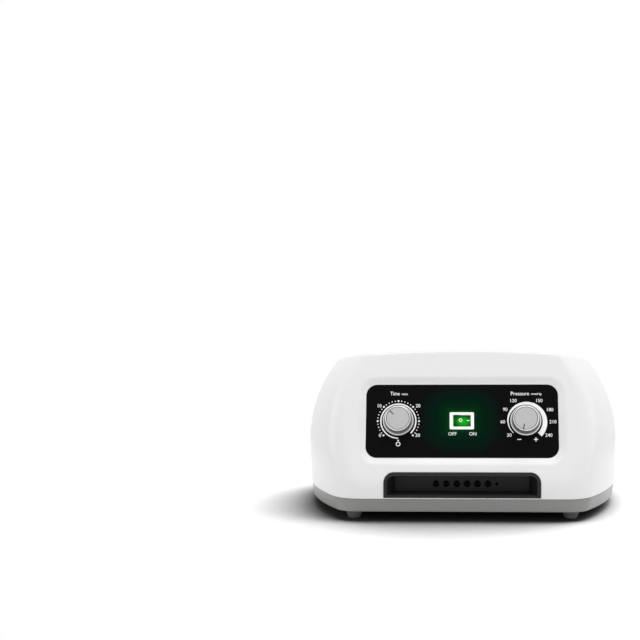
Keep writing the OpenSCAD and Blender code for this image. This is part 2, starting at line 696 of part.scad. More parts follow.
module switch_rocker() color("limegreen") at_panel() translate([0, 0, pivot_z])
    rotate([0, rocker_tilt, 0]) {
    rocker_form();
    rotate([90, 0, 0]) cylinder(h = switch_h - 3.2, d = pivot_d, center = true);
}
module switch_lamp() color("orange") at_panel() translate([-4, 0, 2 - switch_depth]) {
    cylinder(h = 3, d = 4);
    translate([0, 0, 3]) sphere(d = 4);
}
switch_tabs = [-6, 0, 6];
module switch_terminals() color("goldenrod") at_panel()
    for (x = switch_tabs) translate([x - 0.4, -2.4, -switch_depth - 8]) cube([0.8, 4.8, 8]);

// ---- Hose bay ----
// Side view of the bay's front: it follows the face and stands a little proud of it
bay_floor = bay_low + 2.2;
bay_inner_top = bay_top - bay_lip;
function bay_front(z) = face_y(z) - bay_proud;
bay_steps = 8;
module bay_side(back_y) polygon(concat(
    [for (k = [0:bay_steps]) let(z = bay_low + (bay_top - bay_low)*k/bay_steps) [bay_front(z), z]],
    [[back_y, bay_top], [back_y, bay_low]]));
module along_x(w) translate([-w/2, 0, 0]) rotate([90, 0, 90]) linear_extrude(w) children();
module along_y(from, to) translate([0, to, 0]) rotate([90, 0, 0]) linear_extrude(to - from) children();
bay_draft = 6;
module bay_cavity() {
    inner_half = bay_half - bay_lip;
    r = bay_corner - bay_lip;
    intersection() {
        along_y(front_y - 5, bay_back_y) {
            translate([-inner_half, bay_floor]) square([2*inner_half, bay_inner_top - bay_floor - r]);
            translate([r - inner_half, bay_floor]) square([2*(inner_half - r), bay_inner_top - bay_floor]);
            for (s = [-1, 1]) translate([s*(inner_half - r), bay_inner_top - r]) circle(r);
        }
        translate([0, 0, bay_low]) linear_extrude(40) polygon([[-inner_half - 2, front_y - 5],
            [inner_half + 2, front_y - 5], [inner_half - bay_draft, bay_back_y], [bay_draft - inner_half,
                bay_back_y]]);
    }
}
function port_x(i) = (i - (port_count - 1)/2)*port_pitch;
key_x = port_x(port_count - 1) + 7.5;
manifold_half = key_x + 4.5;
ear_x = manifold_half + 4.5;
ear_y = bay_back_y + bay_wall + 8;
module hose_bay() color([0.1, 0.1, 0.1]) difference() {
    union() {
        intersection() {
            along_x(bay_w + 2) bay_side(bay_back_y + bay_wall);
            along_y(front_y - 5, bay_back_y + 5) bay_outline(0);
        }
        both() translate([ear_x, bay_back_y + bay_wall - eps, port_z]) rotate([-90, 0, 0])
            cylinder(h = 8 + eps, d = 6.5);
    }
    bay_cavity();
    for (i = [0:port_count - 1]) translate([port_x(i), bay_back_y - 1, port_z]) rotate([-90, 0, 0])
        cylinder(h = bay_wall + 2, d = port_d + fit);
    translate([key_x, bay_back_y - 1, port_z]) rotate([-90, 0, 0]) cylinder(h = bay_wall + 2, d = key_d);
    both() translate([ear_x, bay_back_y + bay_wall + 1, port_z]) rotate([-90, 0, 0])
        cylinder(h = 9, d = 2.6);
}
seal_d = 1.2;
socket_l = 7;
manifold_front = bay_back_y + bay_wall;
manifold_back = manifold_front + manifold_t;
manifold_h = 13;
module hose_manifold() color("dimgray") difference() {
    union() {
        translate([-manifold_half, manifold_front, port_z - manifold_h/2])
            cube([2*manifold_half, manifold_t, manifold_h]);
        both() translate([manifold_half - 1, ear_y, port_z - 4]) cube([ear_x - manifold_half + 5, 3, 8]);
        for (i = [0:port_count - 1]) translate([port_x(i), manifold_back - eps, port_z])
            rotate([-90, 0, 0]) tube_nipple();
    }
    for (i = [0:port_count - 1]) translate([port_x(i), manifold_front, port_z]) rotate([-90, 0, 0]) {
        translate([0, 0, -eps]) cylinder(h = seal_d + 0.1, d = port_d + 2*seal_d + 0.1);
        cylinder(h = seal_d + 0.1 + socket_l, d = port_d);
        cylinder(h = manifold_t + 2, d = nipple_d - 1.4);
    }
    translate([key_x, manifold_front - 1, port_z]) rotate([-90, 0, 0]) cylinder(h = 8, d = key_d);
    both() translate([ear_x, ear_y - 1, port_z]) rotate([-90, 0, 0]) cylinder(h = 5, d = 3);
}
module port_seals() color("black") for (i = [0:port_count - 1])
    translate([port_x(i), manifold_front + seal_d/2 + 0.05, port_z]) rotate([-90, 0, 0])
        rotate_extrude() translate([port_d/2 + seal_d/2, 0]) circle(d = seal_d, $fn = 24);
module manifold_screws() color("silver") both() translate([ear_x, ear_y + 3, port_z]) rotate([-90, 0, 0])
    screw(2.4, 9, 5.2, 2);

// ---- Air distributor ----
seat_z = port_z + 4;
cavity_h = 10;
cover_low = seat_z + cavity_h;
cover_t = 4;
motor_low = cover_low + cover_t;
port_circle = 24;
dist_front = dist_y - dist_w/2 - 3;
motor_off = 10;
cover_angles = [-148, -104, -62];
cover_circle = disc_d/2 - 2.2;
function cover_spot(i) = [cover_circle*cos(cover_angles[i]), cover_circle*sin(cover_angles[i]), 0];
module dist_corners() for (x = [-1, 1], y = [-1, 1]) translate([x*dist_post, y*dist_post, 0]) children();
module distributor_body() color("lightgray") translate([0, dist_y, 0]) difference() {
    union() {
        translate([0, 0, dist_low_z]) linear_extrude(cover_low - dist_low_z)
            rounded_rect(dist_w, dist_w, 5);
        translate([-dist_w/2 + 4, -dist_w/2 - 3, dist_low_z + 3]) cube([dist_w - 8, 8, 14]);
        for (i = [0:port_count - 1]) translate([port_x(i), -dist_w/2 - 3 + eps, port_z])
            rotate([90, 0, 0]) tube_nipple();
    }
    translate([0, 0, seat_z]) cylinder(h = 20, d = disc_d + 2*gap);
    for (i = [0:port_count - 1]) {
        reach = sqrt(pow(port_circle, 2) - pow(port_x(i), 2));
        translate([port_x(i), -dist_w/2 - 4, port_z]) rotate([-90, 0, 0])
            cylinder(h = dist_w/2 + 4 - reach, d = nipple_d - 1.4);
        translate([port_x(i), -reach, port_z]) cylinder(h = 10, d = nipple_d - 1.4);
    }
    dist_corners() translate([0, 0, dist_low_z - 1]) cylinder(h = 40, d = 3.4);
    translate([0, 0, seat_z - 3]) cylinder(h = 5, d = 4 + 2*run);
}
module distributor_cover() color("lightgray") translate([0, dist_y, cover_low]) difference() {
    union() {
        linear_extrude(cover_t) rounded_rect(dist_w, dist_w, 5);
        for (i = [0:2]) translate(cover_spot(i)) translate([0, 0, cover_t - eps]) tube_nipple();
    }
    translate([0, 0, -1]) cylinder(h = cover_t + 2, d = motor_shaft_d + 2*run);
    for (i = [0:2]) translate(cover_spot(i)) translate([0, 0, -1])
        cylinder(h = cover_t + 2, d = nipple_d - 1.4);
    dist_corners() translate([0, 0, -1]) cylinder(h = cover_t + 2, d = 3.4);
    for (s = [-1, 1]) translate([s*(motor_d/2 + 4), motor_off, -1]) cylinder(h = cover_t + 2, d = 2.6);
}
module valve_disc() color("white") translate([0, dist_y, seat_z]) difference() {
    union() {
        translate([0, 0, gap/2]) cylinder(h = 4, d = disc_d);
        cylinder(h = cavity_h - gap, d = 16);
        translate([0, 0, -2.8]) cylinder(h = 3, d = 4);
    }
    translate([0, -port_circle + 1.5, -1]) cylinder(h = 8, d = 6);
    translate([0, 0, 4]) cylinder(h = 10, d = motor_shaft_d + 0.02);
}
module distributor_shaft() color("silver") translate([0, dist_y, seat_z + 4])
    cylinder(h = motor_low + 9 - seat_z - 4, d = motor_shaft_d);
module distributor_motor() color("silver") translate([0, dist_y, motor_low]) difference() {
    union() {
        translate([0, motor_off, 0]) cylinder(h = motor_h, d = motor_d);
        for (s = [-1, 1]) translate([s*motor_d/2, motor_off, 0]) {
            translate([-4, -4.5, 0]) cube([8, 9, 1.2]);
            translate([s*4, 0, 0]) cylinder(h = 1.2, d = 9);
        }
        translate([-9, motor_off + motor_d/2 - 3, 2]) cube([18, 8, 10]);
    }
    translate([0, 0, -1]) cylinder(h = 11, d = motor_shaft_d + 2*run);
    for (s = [-1, 1]) translate([s*(motor_d/2 + 4), motor_off, -1]) cylinder(h = 4, d = 3.2);
}
module distributor_screws() color("silver") translate([0, dist_y, motor_low]) dist_corners()
    screw(2.9, motor_low - 14, 5.5, 2);
module motor_screws() color("silver") translate([0, dist_y + motor_off, motor_low + 1.2])
    for (s = [-1, 1]) translate([s*(motor_d/2 + 4), 0, 0]) screw(2.4, 4.6, 5, 1.6);
module port_tubes() color("lightcyan") for (i = [0:port_count - 1])
    translate([port_x(i), manifold_back + gap, port_z]) rotate([-90, 0, 0]) difference() {
        cylinder(h = dist_front - manifold_back - 2*gap, d = tube_d);
        translate([0, 0, -1]) cylinder(h = 200, d = tube_bore);
    }

// ---- Compressor ----
bed_z = floor_z + mount_h;
axis_z = bed_z + bed_t + 22;
bracket_y = 30;
head_y = bracket_y + bed_t;
bar_w = 12;
bar_h = 14;
bar_l = 50;
leg_y = 12;
leg_w = 8;
core_in = bar_w/2 + 1;
core_out = 24;
yoke_t = 6;
coil_h = 30;
head_nipple_y = head_y + 6;
head_screw = head_w/2 - 4.5;
module at_compressor() translate(comp_at) children();
module both_ends() {
    children();
    mirror([0, 1, 0]) children();
}
module compressor_bed() color("silver") at_compressor() difference() {
    union() {
        translate([0, 0, bed_z]) linear_extrude(bed_t) rounded_rect(bed_w, bed_l, 4);
        both_ends() translate([-head_w/2, bracket_y, bed_z + bed_t - eps])
            cube([head_w, bed_t, 22 + head_w/2]);
        both() translate([core_out, -leg_y - leg_w/2, bed_z + bed_t - eps])
            cube([yoke_t, 2*leg_y + leg_w, 22 - bar_h/2 + eps]);
    }
    both_ends() {
        translate([0, bracket_y - 1, axis_z]) rotate([-90, 0, 0]) cylinder(h = bed_t + 2, d = 26);
        for (x = [-1, 1], z = [-1, 1]) translate([x*head_screw, bracket_y - 1, axis_z + z*head_screw])
            rotate([-90, 0, 0]) cylinder(h = bed_t + 2, d = 3);
    }
    for (x = [-1, 1], y = [-1, 1]) translate([x*mount_x, y*mount_y, bed_z - 1])
        cylinder(h = bed_t + 2, d = 5.4);
    both() for (y = [-1, 1]) translate([core_out + yoke_t/2, y*leg_y, bed_z + 8]) cylinder(h = 40, d = 2.6);
}
module compressor_mounts() color([0.15, 0.15, 0.15]) at_compressor() for (x = [-1, 1], y = [-1, 1])
    translate([x*mount_x, y*mount_y, floor_z]) difference() {
        union() {
            cylinder(h = mount_h, d = 14);
            cylinder(h = mount_h + bed_t + 0.2, d = 5);
            translate([0, 0, mount_h + bed_t]) cylinder(h = 1.8, d1 = 8.5, d2 = 6);
        }
        translate([0, 0, -1]) cylinder(h = 5, d = mount_pin_d + fit);
    }
module stator_cores() color("slategray") at_compressor()
    translate([0, 0, axis_z - bar_h/2]) both() difference() {
    union() {
        for (y = [-1, 1]) translate([core_in, y*leg_y - leg_w/2, 0])
            cube([core_out - core_in + eps, leg_w, bar_h]);
        translate([core_out, -leg_y - leg_w/2, 0]) cube([yoke_t, 2*leg_y + leg_w, bar_h]);
    }
    for (y = [-1, 1]) translate([core_out + yoke_t/2, y*leg_y, -1]) cylinder(h = bar_h + 2, d = 3.2);
}
module core_screws() color("silver") at_compressor() translate([0, 0, axis_z + bar_h/2]) both()
    for (y = [-1, 1]) translate([core_out + yoke_t/2, y*leg_y, 0]) screw(2.4, bar_h + 8, 5, 2);
module stator_coils() color("peru") at_compressor() both() for (y = [-1, 1])
    translate([core_in + 1.5, y*leg_y, axis_z])
    rotate([90, 0, 90]) linear_extrude(core_out - core_in - 2) difference() {
        rounded_rect(leg_w + 8, coil_h, 2);
        square([leg_w + 2*fit, bar_h + 2*fit], center = true);
    }
module armature() color("silver") at_compressor() translate([0, 0, axis_z]) {
    difference() {
        cube([bar_w, bar_l, bar_h], center = true);
        for (y = [-1, 1]) translate([0, y*leg_y, 0])
            cube([bar_w + 1, 16 + 2*fit, bar_h - 4 + 2*fit], center = true);
    }
    both_ends() translate([0, bar_l/2 - eps, 0]) rotate([-90, 0, 0])
        cylinder(h = bracket_y - bar_l/2 - 0.1, d = 6);
}
module armature_magnets() color("dimgray") at_compressor() for (y = [-1, 1])
    translate([0, y*leg_y, axis_z]) cube([bar_w, 16, bar_h - 4], center = true);
module diaphragms() color([0.15, 0.15, 0.15]) at_compressor() both_ends()
    translate([0, head_y, axis_z]) rotate([-90, 0, 0])
    rotate_extrude() polygon([[0, -bed_t], [6, -bed_t], [6, 0], [diaphragm_d/2, 0], [diaphragm_d/2, 2],
        [14, 2], [13, 3], [11, 3], [10, 2], [6, 2], [6, 4], [0, 4]]);
module pump_heads() color("gainsboro") at_compressor() both_ends() difference() {
    union() {
        translate([-head_w/2, head_y, axis_z - 22 + 1]) cube([head_w, head_l, head_w - 1]);
        translate([0, head_nipple_y, axis_z + head_w - 22 - eps]) tube_nipple();
        translate([0, head_y + head_l - eps, axis_z]) rotate([-90, 0, 0]) tube_nipple();
    }
    translate([0, head_y - 1, axis_z]) rotate([-90, 0, 0]) {
        cylinder(h = 3, d = diaphragm_d + 2*fit);
        cylinder(h = 10, d = 30);
        cylinder(h = head_l + 2, d = nipple_d - 1.4);
    }
    translate([0, head_nipple_y, axis_z]) cylinder(h = head_w, d = nipple_d - 1.4);
    for (x = [-1, 1], z = [-1, 1]) translate([x*head_screw, head_y - 1, axis_z + z*head_screw])
        rotate([-90, 0, 0]) cylinder(h = head_l + 2, d = 3.2);
}
module head_screws() color("silver") at_compressor() both_ends() for (x = [-1, 1], z = [-1, 1])
    translate([x*head_screw, head_y + head_l, axis_z + z*head_screw]) rotate([-90, 0, 0])
        screw(2.8, head_l + bed_t, 5.2, 2);
module intake_filters() color("ivory") at_compressor() both_ends()
    translate([0, head_y + head_l + gap, axis_z]) rotate([-90, 0, 0]) difference() {
        cylinder(h = 12, d = 18);
        translate([0, 0, -1]) cylinder(h = nipple_l + 1.2, d = nipple_d + 0.7);
    }

// ---- Curved air tubes ----
head_top_z = axis_z + head_w - 22;
function cover_end(i) = cover_spot(i) + [0, dist_y, motor_low + gap];
function head_end(s) = [comp_at.x, comp_at.y + s*head_nipple_y, head_top_z + gap];
function raised(p, h) = p + [0, 0, h];
link_rise = [26, 42];
supply_rise = [30, 46];
relief_rise = [26, 34];
link_end = cover_end(0);
supply_end = cover_end(1);
relief_end = cover_end(2);
function relief_start(out) = panel_point([knob_x, 0, reg_back - reg_cap_t - out]);
module link_tube() color("lightcyan") air_tube([
    head_end(1), raised(head_end(1), link_rise[0]), raised(link_end, link_rise[1]), link_end]);
module supply_tube() color("lightcyan") air_tube([
    head_end(-1), raised(head_end(-1), supply_rise[0]), raised(supply_end, supply_rise[1]), supply_end]);
module regulator_tube() color("lightcyan") air_tube([
    relief_start(gap), relief_start(relief_rise[0]), raised(relief_end, relief_rise[1]), relief_end]);

// ---- Mains inlet ----
socket_w = 24;
socket_h = 16.5;
socket_up = 10;
pin_l = 20;
drawer_w = 25;
drawer_h = 8;
drawer_down = 14.5;
drawer_l = 18;
inlet_w = socket_w + 4;
inlet_h = 44;
inlet_screw_z = flange_h/2 - 4;
module at_inlet() translate([inlet_at, rear_y, inlet_z]) children();
module mains_inlet() color([0.1, 0.1, 0.1]) at_inlet() difference() {
    union() {
        rotate([-90, 0, 0]) linear_extrude(flange_t) rounded_rect(flange_w, flange_h, 3);
        translate([-inlet_w/2, -inlet_depth, -inlet_h/2]) cube([inlet_w, inlet_depth + eps, inlet_h]);
    }
    for (s = [-1, 1]) translate([0, 0, s*inlet_screw_z]) rotate([-90, 0, 0]) {
        translate([0, 0, -1]) cylinder(h = 6, d = 2.8);
        translate([0, 0, flange_t - 1.5]) cylinder(h = 3, d = 5.6);
    }
    translate([-socket_w/2, flange_t - 16, socket_up - socket_h/2]) cube([socket_w, 20, socket_h]);
    translate([-drawer_w/2 - gap, flange_t - drawer_l - gap, -drawer_down - drawer_h/2 - gap])
        cube([drawer_w + 2*gap, 40, drawer_h + 2*gap]);
    for (p = pin_spots) translate([p.x - 1 - fit/2, -inlet_depth - 1, p.z - 2 - fit/2])
        cube([2 + fit, inlet_depth, 4 + fit]);
}
pin_spots = [[-7, 0, socket_up - 2], [0, 0, socket_up + 2], [7, 0, socket_up - 2]];
tab_l = 7;
module inlet_pins() color("silver") at_inlet() for (p = pin_spots)
    translate([p.x - 1, -inlet_depth - tab_l, p.z - 2]) cube([2, inlet_depth + 5, 4]);
module inlet_screws() color("silver") at_inlet() for (s = [-1, 1])
    translate([0, flange_t - 1.5, s*inlet_screw_z]) rotate([-90, 0, 0]) screw(2.4, 7, 5.2, 1.4);
module fuse_drawer() color([0.1, 0.1, 0.1]) at_inlet() difference() {
    translate([-drawer_w/2, flange_t - drawer_l, -drawer_down - drawer_h/2])
        cube([drawer_w, drawer_l, drawer_h]);
    translate([-10.4, flange_t - drawer_l + 4, -drawer_down - drawer_h/2 + 1.2])
        cube([20.8, 6.2, drawer_h]);
    translate([-6, flange_t - 1, -drawer_down - drawer_h/2 - 1]) cube([12, 3, 2.4]);
}
module fuse() color("lightblue") at_inlet()
    translate([0, flange_t - drawer_l + 7.1, -drawer_down - drawer_h/2 + 1.2 + 2.8]) rotate([0, 90, 0]) {
        cylinder(h = 20.4, d = 4.6, center = true);
        for (s = [-1, 1]) translate([0, 0, s*7.7]) cylinder(h = 5, d = 5.6, center = true);
    }

// ---- Electrical parts ----
block_x = inlet_at;
block_y = 20;
block_w = 56;
block_d = 18;
block_h = 14;
block_n = 7;
wire_d = 2.2;
function block_spot(i) = [block_x + (i - (block_n - 1)/2)*block_w/block_n, block_y, floor_z + block_h - 8];
module terminal_block() color("ivory") difference() {
    translate([block_x - block_w/2, block_y - block_d/2, floor_z]) cube([block_w, block_d, block_h]);
    for (i = [0:block_n - 1]) translate(block_spot(i)) cylinder(h = 9, d = 5);
}
// Ends of the tabs that the wires run to
function pin_end(i) = [inlet_at + pin_spots[i].x, rear_y - inlet_depth - tab_l, inlet_z + pin_spots[i].z];
function switch_end(i, out = 0) = panel_point([switch_tabs[i], 0, -switch_depth - 8 - out]);
function timer_end(i, out = 0) = panel_point([timer_tabs[i] - knob_x, timer_tab_y + 0.4,
    timer_back - 1.6 - timer_tab_l - out]);
function coil_side(s) = [comp_at.x + core_out - 0.5, comp_at.y + s*leg_y, axis_z + coil_h/2 - 3.5];
function coil_top(s) = [comp_at.x + core_out - 6, comp_at.y + s*leg_y, axis_z + coil_h/2];
motor_end = [4, dist_y + motor_off + motor_d/2 + 5, motor_low + 7];
wires = [
    [switch_end(1), switch_end(1, 24), raised(block_spot(0), 44), block_spot(0)],
    [switch_end(2), switch_end(2, 24), raised(block_spot(1), 44), block_spot(1)],
    [pin_end(0), pin_end(0) - [0, 26, 0], raised(block_spot(2), 38), block_spot(2)],
    [pin_end(1), pin_end(1) - [0, 26, 0], raised(block_spot(3), 38), block_spot(3)],
    [pin_end(2), pin_end(2) - [0, 26, 0], raised(block_spot(4), 38), block_spot(4)],
    [motor_end, motor_end + [0, 34, 0], raised(block_spot(5), 50), block_spot(5)],
    [coil_top(1), raised(coil_top(1), 30), raised(block_spot(6), 72), block_spot(6)],
    [switch_end(0), switch_end(0, 18), timer_end(1, 18), timer_end(1)],
    [timer_end(0), timer_end(0, 14), coil_side(-1) + [22, 0, 0], coil_side(-1)]];
// The ends of a wire are straight: 3 mm at its tab, 10 mm where it enters the block
function wire_path(c) = let(u = unit(c[1] - c[0]), v = unit(c[2] - c[3]))
    concat([c[0] + gap*u], sweep_path([c[0] + 3*u, c[1], c[2], c[3] + 10*v], 9), [c[3] + gap*v]);
module wiring() color("saddlebrown") for (w = wires) swept_rod(wire_path(w), wire_d, 6);

upper_housing();
lower_housing();
control_panel();
hose_bay();
hose_manifold();
port_seals();
manifold_screws();
timer_body();
timer_cover();
timer_nut();
timer_shaft();
timer_knob();
timer_terminals();
regulator_body();
regulator_cap();
regulator_nut();
pressure_shaft();
pressure_knob();
spring_follower();
regulator_spring();
relief_valve();
switch_body();
switch_rocker();
switch_lamp();
switch_terminals();
distributor_body();
distributor_cover();
valve_disc();
distributor_shaft();
distributor_motor();
distributor_screws();
motor_screws();
port_tubes();
supply_tube();
link_tube();
regulator_tube();
compressor_bed();
compressor_mounts();
stator_cores();
stator_coils();
core_screws();
armature();
armature_magnets();
diaphragms();
pump_heads();
head_screws();
intake_filters();
mains_inlet();
inlet_pins();
inlet_screws();
fuse_drawer();
fuse();
terminal_block();
wiring();
rating_plate();
feet();
foot_screws();
case_screws();
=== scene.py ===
"""Compression therapy pump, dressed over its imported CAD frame. Sizes are in millimetres until a mesh is made,
and the lamps and the floor are in metres."""

import math

import bmesh
import bpy
import numpy as np
from mathutils import Matrix, Vector
from mathutils.geometry import delaunay_2d_cdt


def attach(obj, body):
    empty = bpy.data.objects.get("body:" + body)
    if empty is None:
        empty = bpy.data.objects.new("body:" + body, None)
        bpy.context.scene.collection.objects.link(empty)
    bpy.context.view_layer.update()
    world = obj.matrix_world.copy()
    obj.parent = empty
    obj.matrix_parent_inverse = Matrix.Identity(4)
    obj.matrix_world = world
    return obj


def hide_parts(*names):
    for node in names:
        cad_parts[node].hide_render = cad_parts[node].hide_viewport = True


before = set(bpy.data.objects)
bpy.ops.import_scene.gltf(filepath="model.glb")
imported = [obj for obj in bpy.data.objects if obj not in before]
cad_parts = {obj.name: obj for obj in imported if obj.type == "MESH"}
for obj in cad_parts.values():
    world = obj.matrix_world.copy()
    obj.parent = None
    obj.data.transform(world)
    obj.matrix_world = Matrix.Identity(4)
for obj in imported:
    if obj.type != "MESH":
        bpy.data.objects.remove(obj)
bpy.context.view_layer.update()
MM = 0.001

# ---- Camera: the photograph's frame ----
CAM_AT = (0.0, -1272.0, 233.46)
CAM_PITCH, CAM_YAW, CAM_ROLL = 5.032, 3.748, -0.463


def make_camera():
    """A 78 mm lens, a little above the case and turned slightly left. Its axes come from the three angles."""
    p, w, r = (math.radians(a) for a in (CAM_PITCH, CAM_YAW, CAM_ROLL))
    ahead = np.array([-math.sin(w) * math.cos(p), math.cos(w) * math.cos(p), -math.sin(p)])
    level = np.array([math.cos(w), math.sin(w), 0.0])
    upright = np.cross(level, ahead)
    right = math.cos(r) * level + math.sin(r) * upright
    up = math.cos(r) * upright - math.sin(r) * level
    data = bpy.data.cameras.new("camera")
    data.lens, data.sensor_width = 78.0, 36.0
    data.shift_x, data.shift_y = -0.08, 0.08
    data.clip_start, data.clip_end = 0.05, 40.0
    camera = bpy.data.objects.new("camera", data)
    bpy.context.scene.collection.objects.link(camera)
    turn = np.eye(4)
    turn[:3, 0], turn[:3, 1], turn[:3, 2], turn[:3, 3] = right, up, -ahead, np.array(CAM_AT) * MM
    camera.matrix_world = Matrix(turn.tolist())
    bpy.context.scene.camera = camera


make_camera()

# ---- Sizes, as in the part's source ----
CASE_W, CASE_H = 285.0, 145.0
WALL, BASE_Z, PART_Z, FLOOR_Z = 2.8, 8.5, 20.0, 11.5
LEAN, RIDGE_Z, RIDGE_SOFT = math.radians(20.7), 33.0, 7.0
WAIST_Z, WAIST_Y, PLAN_R, SIDE_R = 56.0, 30.0, 240.0, 115.0
CROWN_R, TOP_FALL, FRONT_R, TOP_R, REAR_R, EDGE_R = 960.0, math.radians(5.0), 28.0, 10.0, 24.0, 2.5
FRONT_Y, REAR_Y = -99.5, 97.5
PANEL_W, PANEL_H, PANEL_R, PANEL_UP = 166.0, 65.0, 9.5, 56.0
PANEL_Z = RIDGE_Z + PANEL_UP * math.cos(LEAN)
RECESS, SLOPE_W = 2.5, 6.5  # depth of the panel's recess, and width of the slope round it
KNOB_X, KNOB_TOP, BUSH_R = 55.0, 11.0, 4.7
SWITCH_HALF = (9.7, 6.7)
BAY_HALF, BAY_LOW, BAY_TOP, BAY_R = 67.2, 21.0, 42.6, 8.7
PILLARS, COUNTERBORE = [(104.5, -64.0), (118.0, 77.5)], 4.25
FEET = [(94.0, -77.5), (94.0, 75.5)]
REAR_Z, INLET_X, INLET_HALF = 62.0, 85.0, (14.2, 22.2)
VENT_X, VENT_PITCH, VENT_HALF = -84.0, 8.0, (1.5, 15.0)
SKIN = 0.1  # the white skin lies this far inside the CAD surface, so that no bulge passes the CAD box


# ---- Form of the case ----
def face_y(z):
    """Front surface: upright below the ridge, leaning back above it, with a parabola between."""
    u = z - RIDGE_Z
    soft = (u + RIDGE_SOFT) ** 2 / (4 * RIDGE_SOFT)
    return FRONT_Y + math.tan(LEAN) * np.where(u < -RIDGE_SOFT, 0.0, np.where(u > RIDGE_SOFT, u, soft))


def side_inset(z):
    """The sides lean in by a circle above the waist and by a slight draft below it."""
    up = np.minimum(np.maximum(z - WAIST_Z, 0.0), SIDE_R * 0.98)
    return np.where(z > WAIST_Z, SIDE_R - np.sqrt(SIDE_R**2 - up**2), (WAIST_Z - z) * 0.03)


TOP_Y = float(face_y(np.array(CASE_H)))
MIDDLE_Y = (TOP_Y + REAR_Y) / 2


def top_z(x, y):
    """The top is a shallow parabola across, falling in a plane to the rear."""
    return CASE_H - x * x / (2 * CROWN_R) - (y - TOP_Y) * math.tan(TOP_FALL)


# Columns of a half ring: (part of the outline, share of that part)
FRONT_STEPS = np.concatenate([np.linspace(0, 0.80, 42), np.linspace(0.80, 0.985, 11)[1:], [1.0]])
BAY_COLUMN, PANEL_COLUMN = 41, 51
REAR_STEPS = np.concatenate([[0.02], np.linspace(0.02, 1.0, 25)[1:]])
COUNTS = (18, 32, 14)  # columns of the front corner, the side and the rear corner
PART = np.concatenate([np.full(n, k) for k, n in enumerate((len(FRONT_STEPS), *COUNTS, len(REAR_STEPS)))])
SHARE = np.concatenate([FRONT_STEPS, *(np.linspace(0, 1, n + 1)[1:] for n in COUNTS), REAR_STEPS])
REAR_COLUMN = len(FRONT_STEPS) + sum(COUNTS)


def plan(z, e, tight=0.0):
    """Half outline at height z, e inside the surface: straight front, round corner, bulged side, round corner
    and straight rear. The front corner tightens towards the top, and by tight everywhere."""
    r, cx = PLAN_R - e, CASE_W / 2 - side_inset(z) - PLAN_R
    yf, yb = face_y(z) + e / math.cos(LEAN), REAR_Y - e
    rf = FRONT_R - (FRONT_R - TOP_R) * np.maximum(0, z - RIDGE_Z) / (CASE_H - RIDGE_Z) - e - tight
    rb = REAR_R - e
    ycf, ycb = yf + rf, yb - rb
    xcf = cx + np.sqrt((r - rf) ** 2 - (ycf - WAIST_Y) ** 2)
    xcb = cx + np.sqrt((r - rb) ** 2 - (ycb - WAIST_Y) ** 2)
    af, ab = np.arctan2(ycf - WAIST_Y, xcf - cx), np.arctan2(ycb - WAIST_Y, xcb - cx)
    a1 = -np.pi / 2 + (af + np.pi / 2) * SHARE
    a2 = af + (ab - af) * SHARE
    a3 = ab + (np.pi / 2 - ab) * SHARE
    on = [np.broadcast_to(PART == k, a1.shape) for k in range(4)]
    x = np.select(on, [xcf * SHARE, xcf + rf * np.cos(a1), cx + r * np.cos(a2), xcb + rb * np.cos(a3)],
                  xcb * (1 - SHARE))
    y = np.select(on, [yf + 0 * a1, ycf + rf * np.sin(a1), WAIST_Y + r * np.sin(a2), ycb + rb * np.sin(a3)],
                  yb + 0 * a1)
    return x, y


def whole(x, y, z):
    """Right half and its mirror image as closed rings."""
    half = np.stack([x, y, z + 0 * x], -1)
    return np.concatenate([half, half[..., -2:0:-1, :] * [-1, 1, 1]], -2)


def height_rows(z, e):
    """Rings at plain heights."""
    z, e = np.reshape(z, (-1, 1)) + 0 * SHARE, np.reshape(e, (-1, 1)) + 0 * SHARE
    return whole(*plan(z, e), z)


def wall_rows(t, e):
    """Rings at fractions of the height up to the top surface, which the outline settles to in four steps."""
    t = np.reshape(t, (-1, 1))
    z = CASE_H * t + 0 * SHARE
    for _ in range(4):
        x, y = plan(z, e + 0 * z)
        z = PART_Z + t * (top_z(x, y) - e - PART_Z)
    return whole(*plan(z, e + 0 * z), z)


def cap_rows(k, e):
    """The top ring shrunk to the shares k about the middle, on the top surface."""
    ring = wall_rows([1.0], e)[0]
    k = np.reshape(k, (len(k), -1))
    x, y = ring[:, 0] * k, MIDDLE_Y + (ring[:, 1] - MIDDLE_Y) * k
    return np.stack([x, y, top_z(x, y) - e], -1)


def edge_rows(s, e):
    """Quadratic curves from the wall to the top, with their corner on the edge."""
    s = np.reshape(s, (-1, 1, 1))
    low, corner = wall_rows([1 - EDGE_R / (CASE_H - PART_Z), 1.0], e)
    share = 1 - EDGE_R / np.hypot(corner[:, 0], corner[:, 1] - MIDDLE_Y)
    top = cap_rows(share[None, :], e)[0]
    return (1 - s) ** 2 * low + 2 * s * (1 - s) * corner + s * s * top


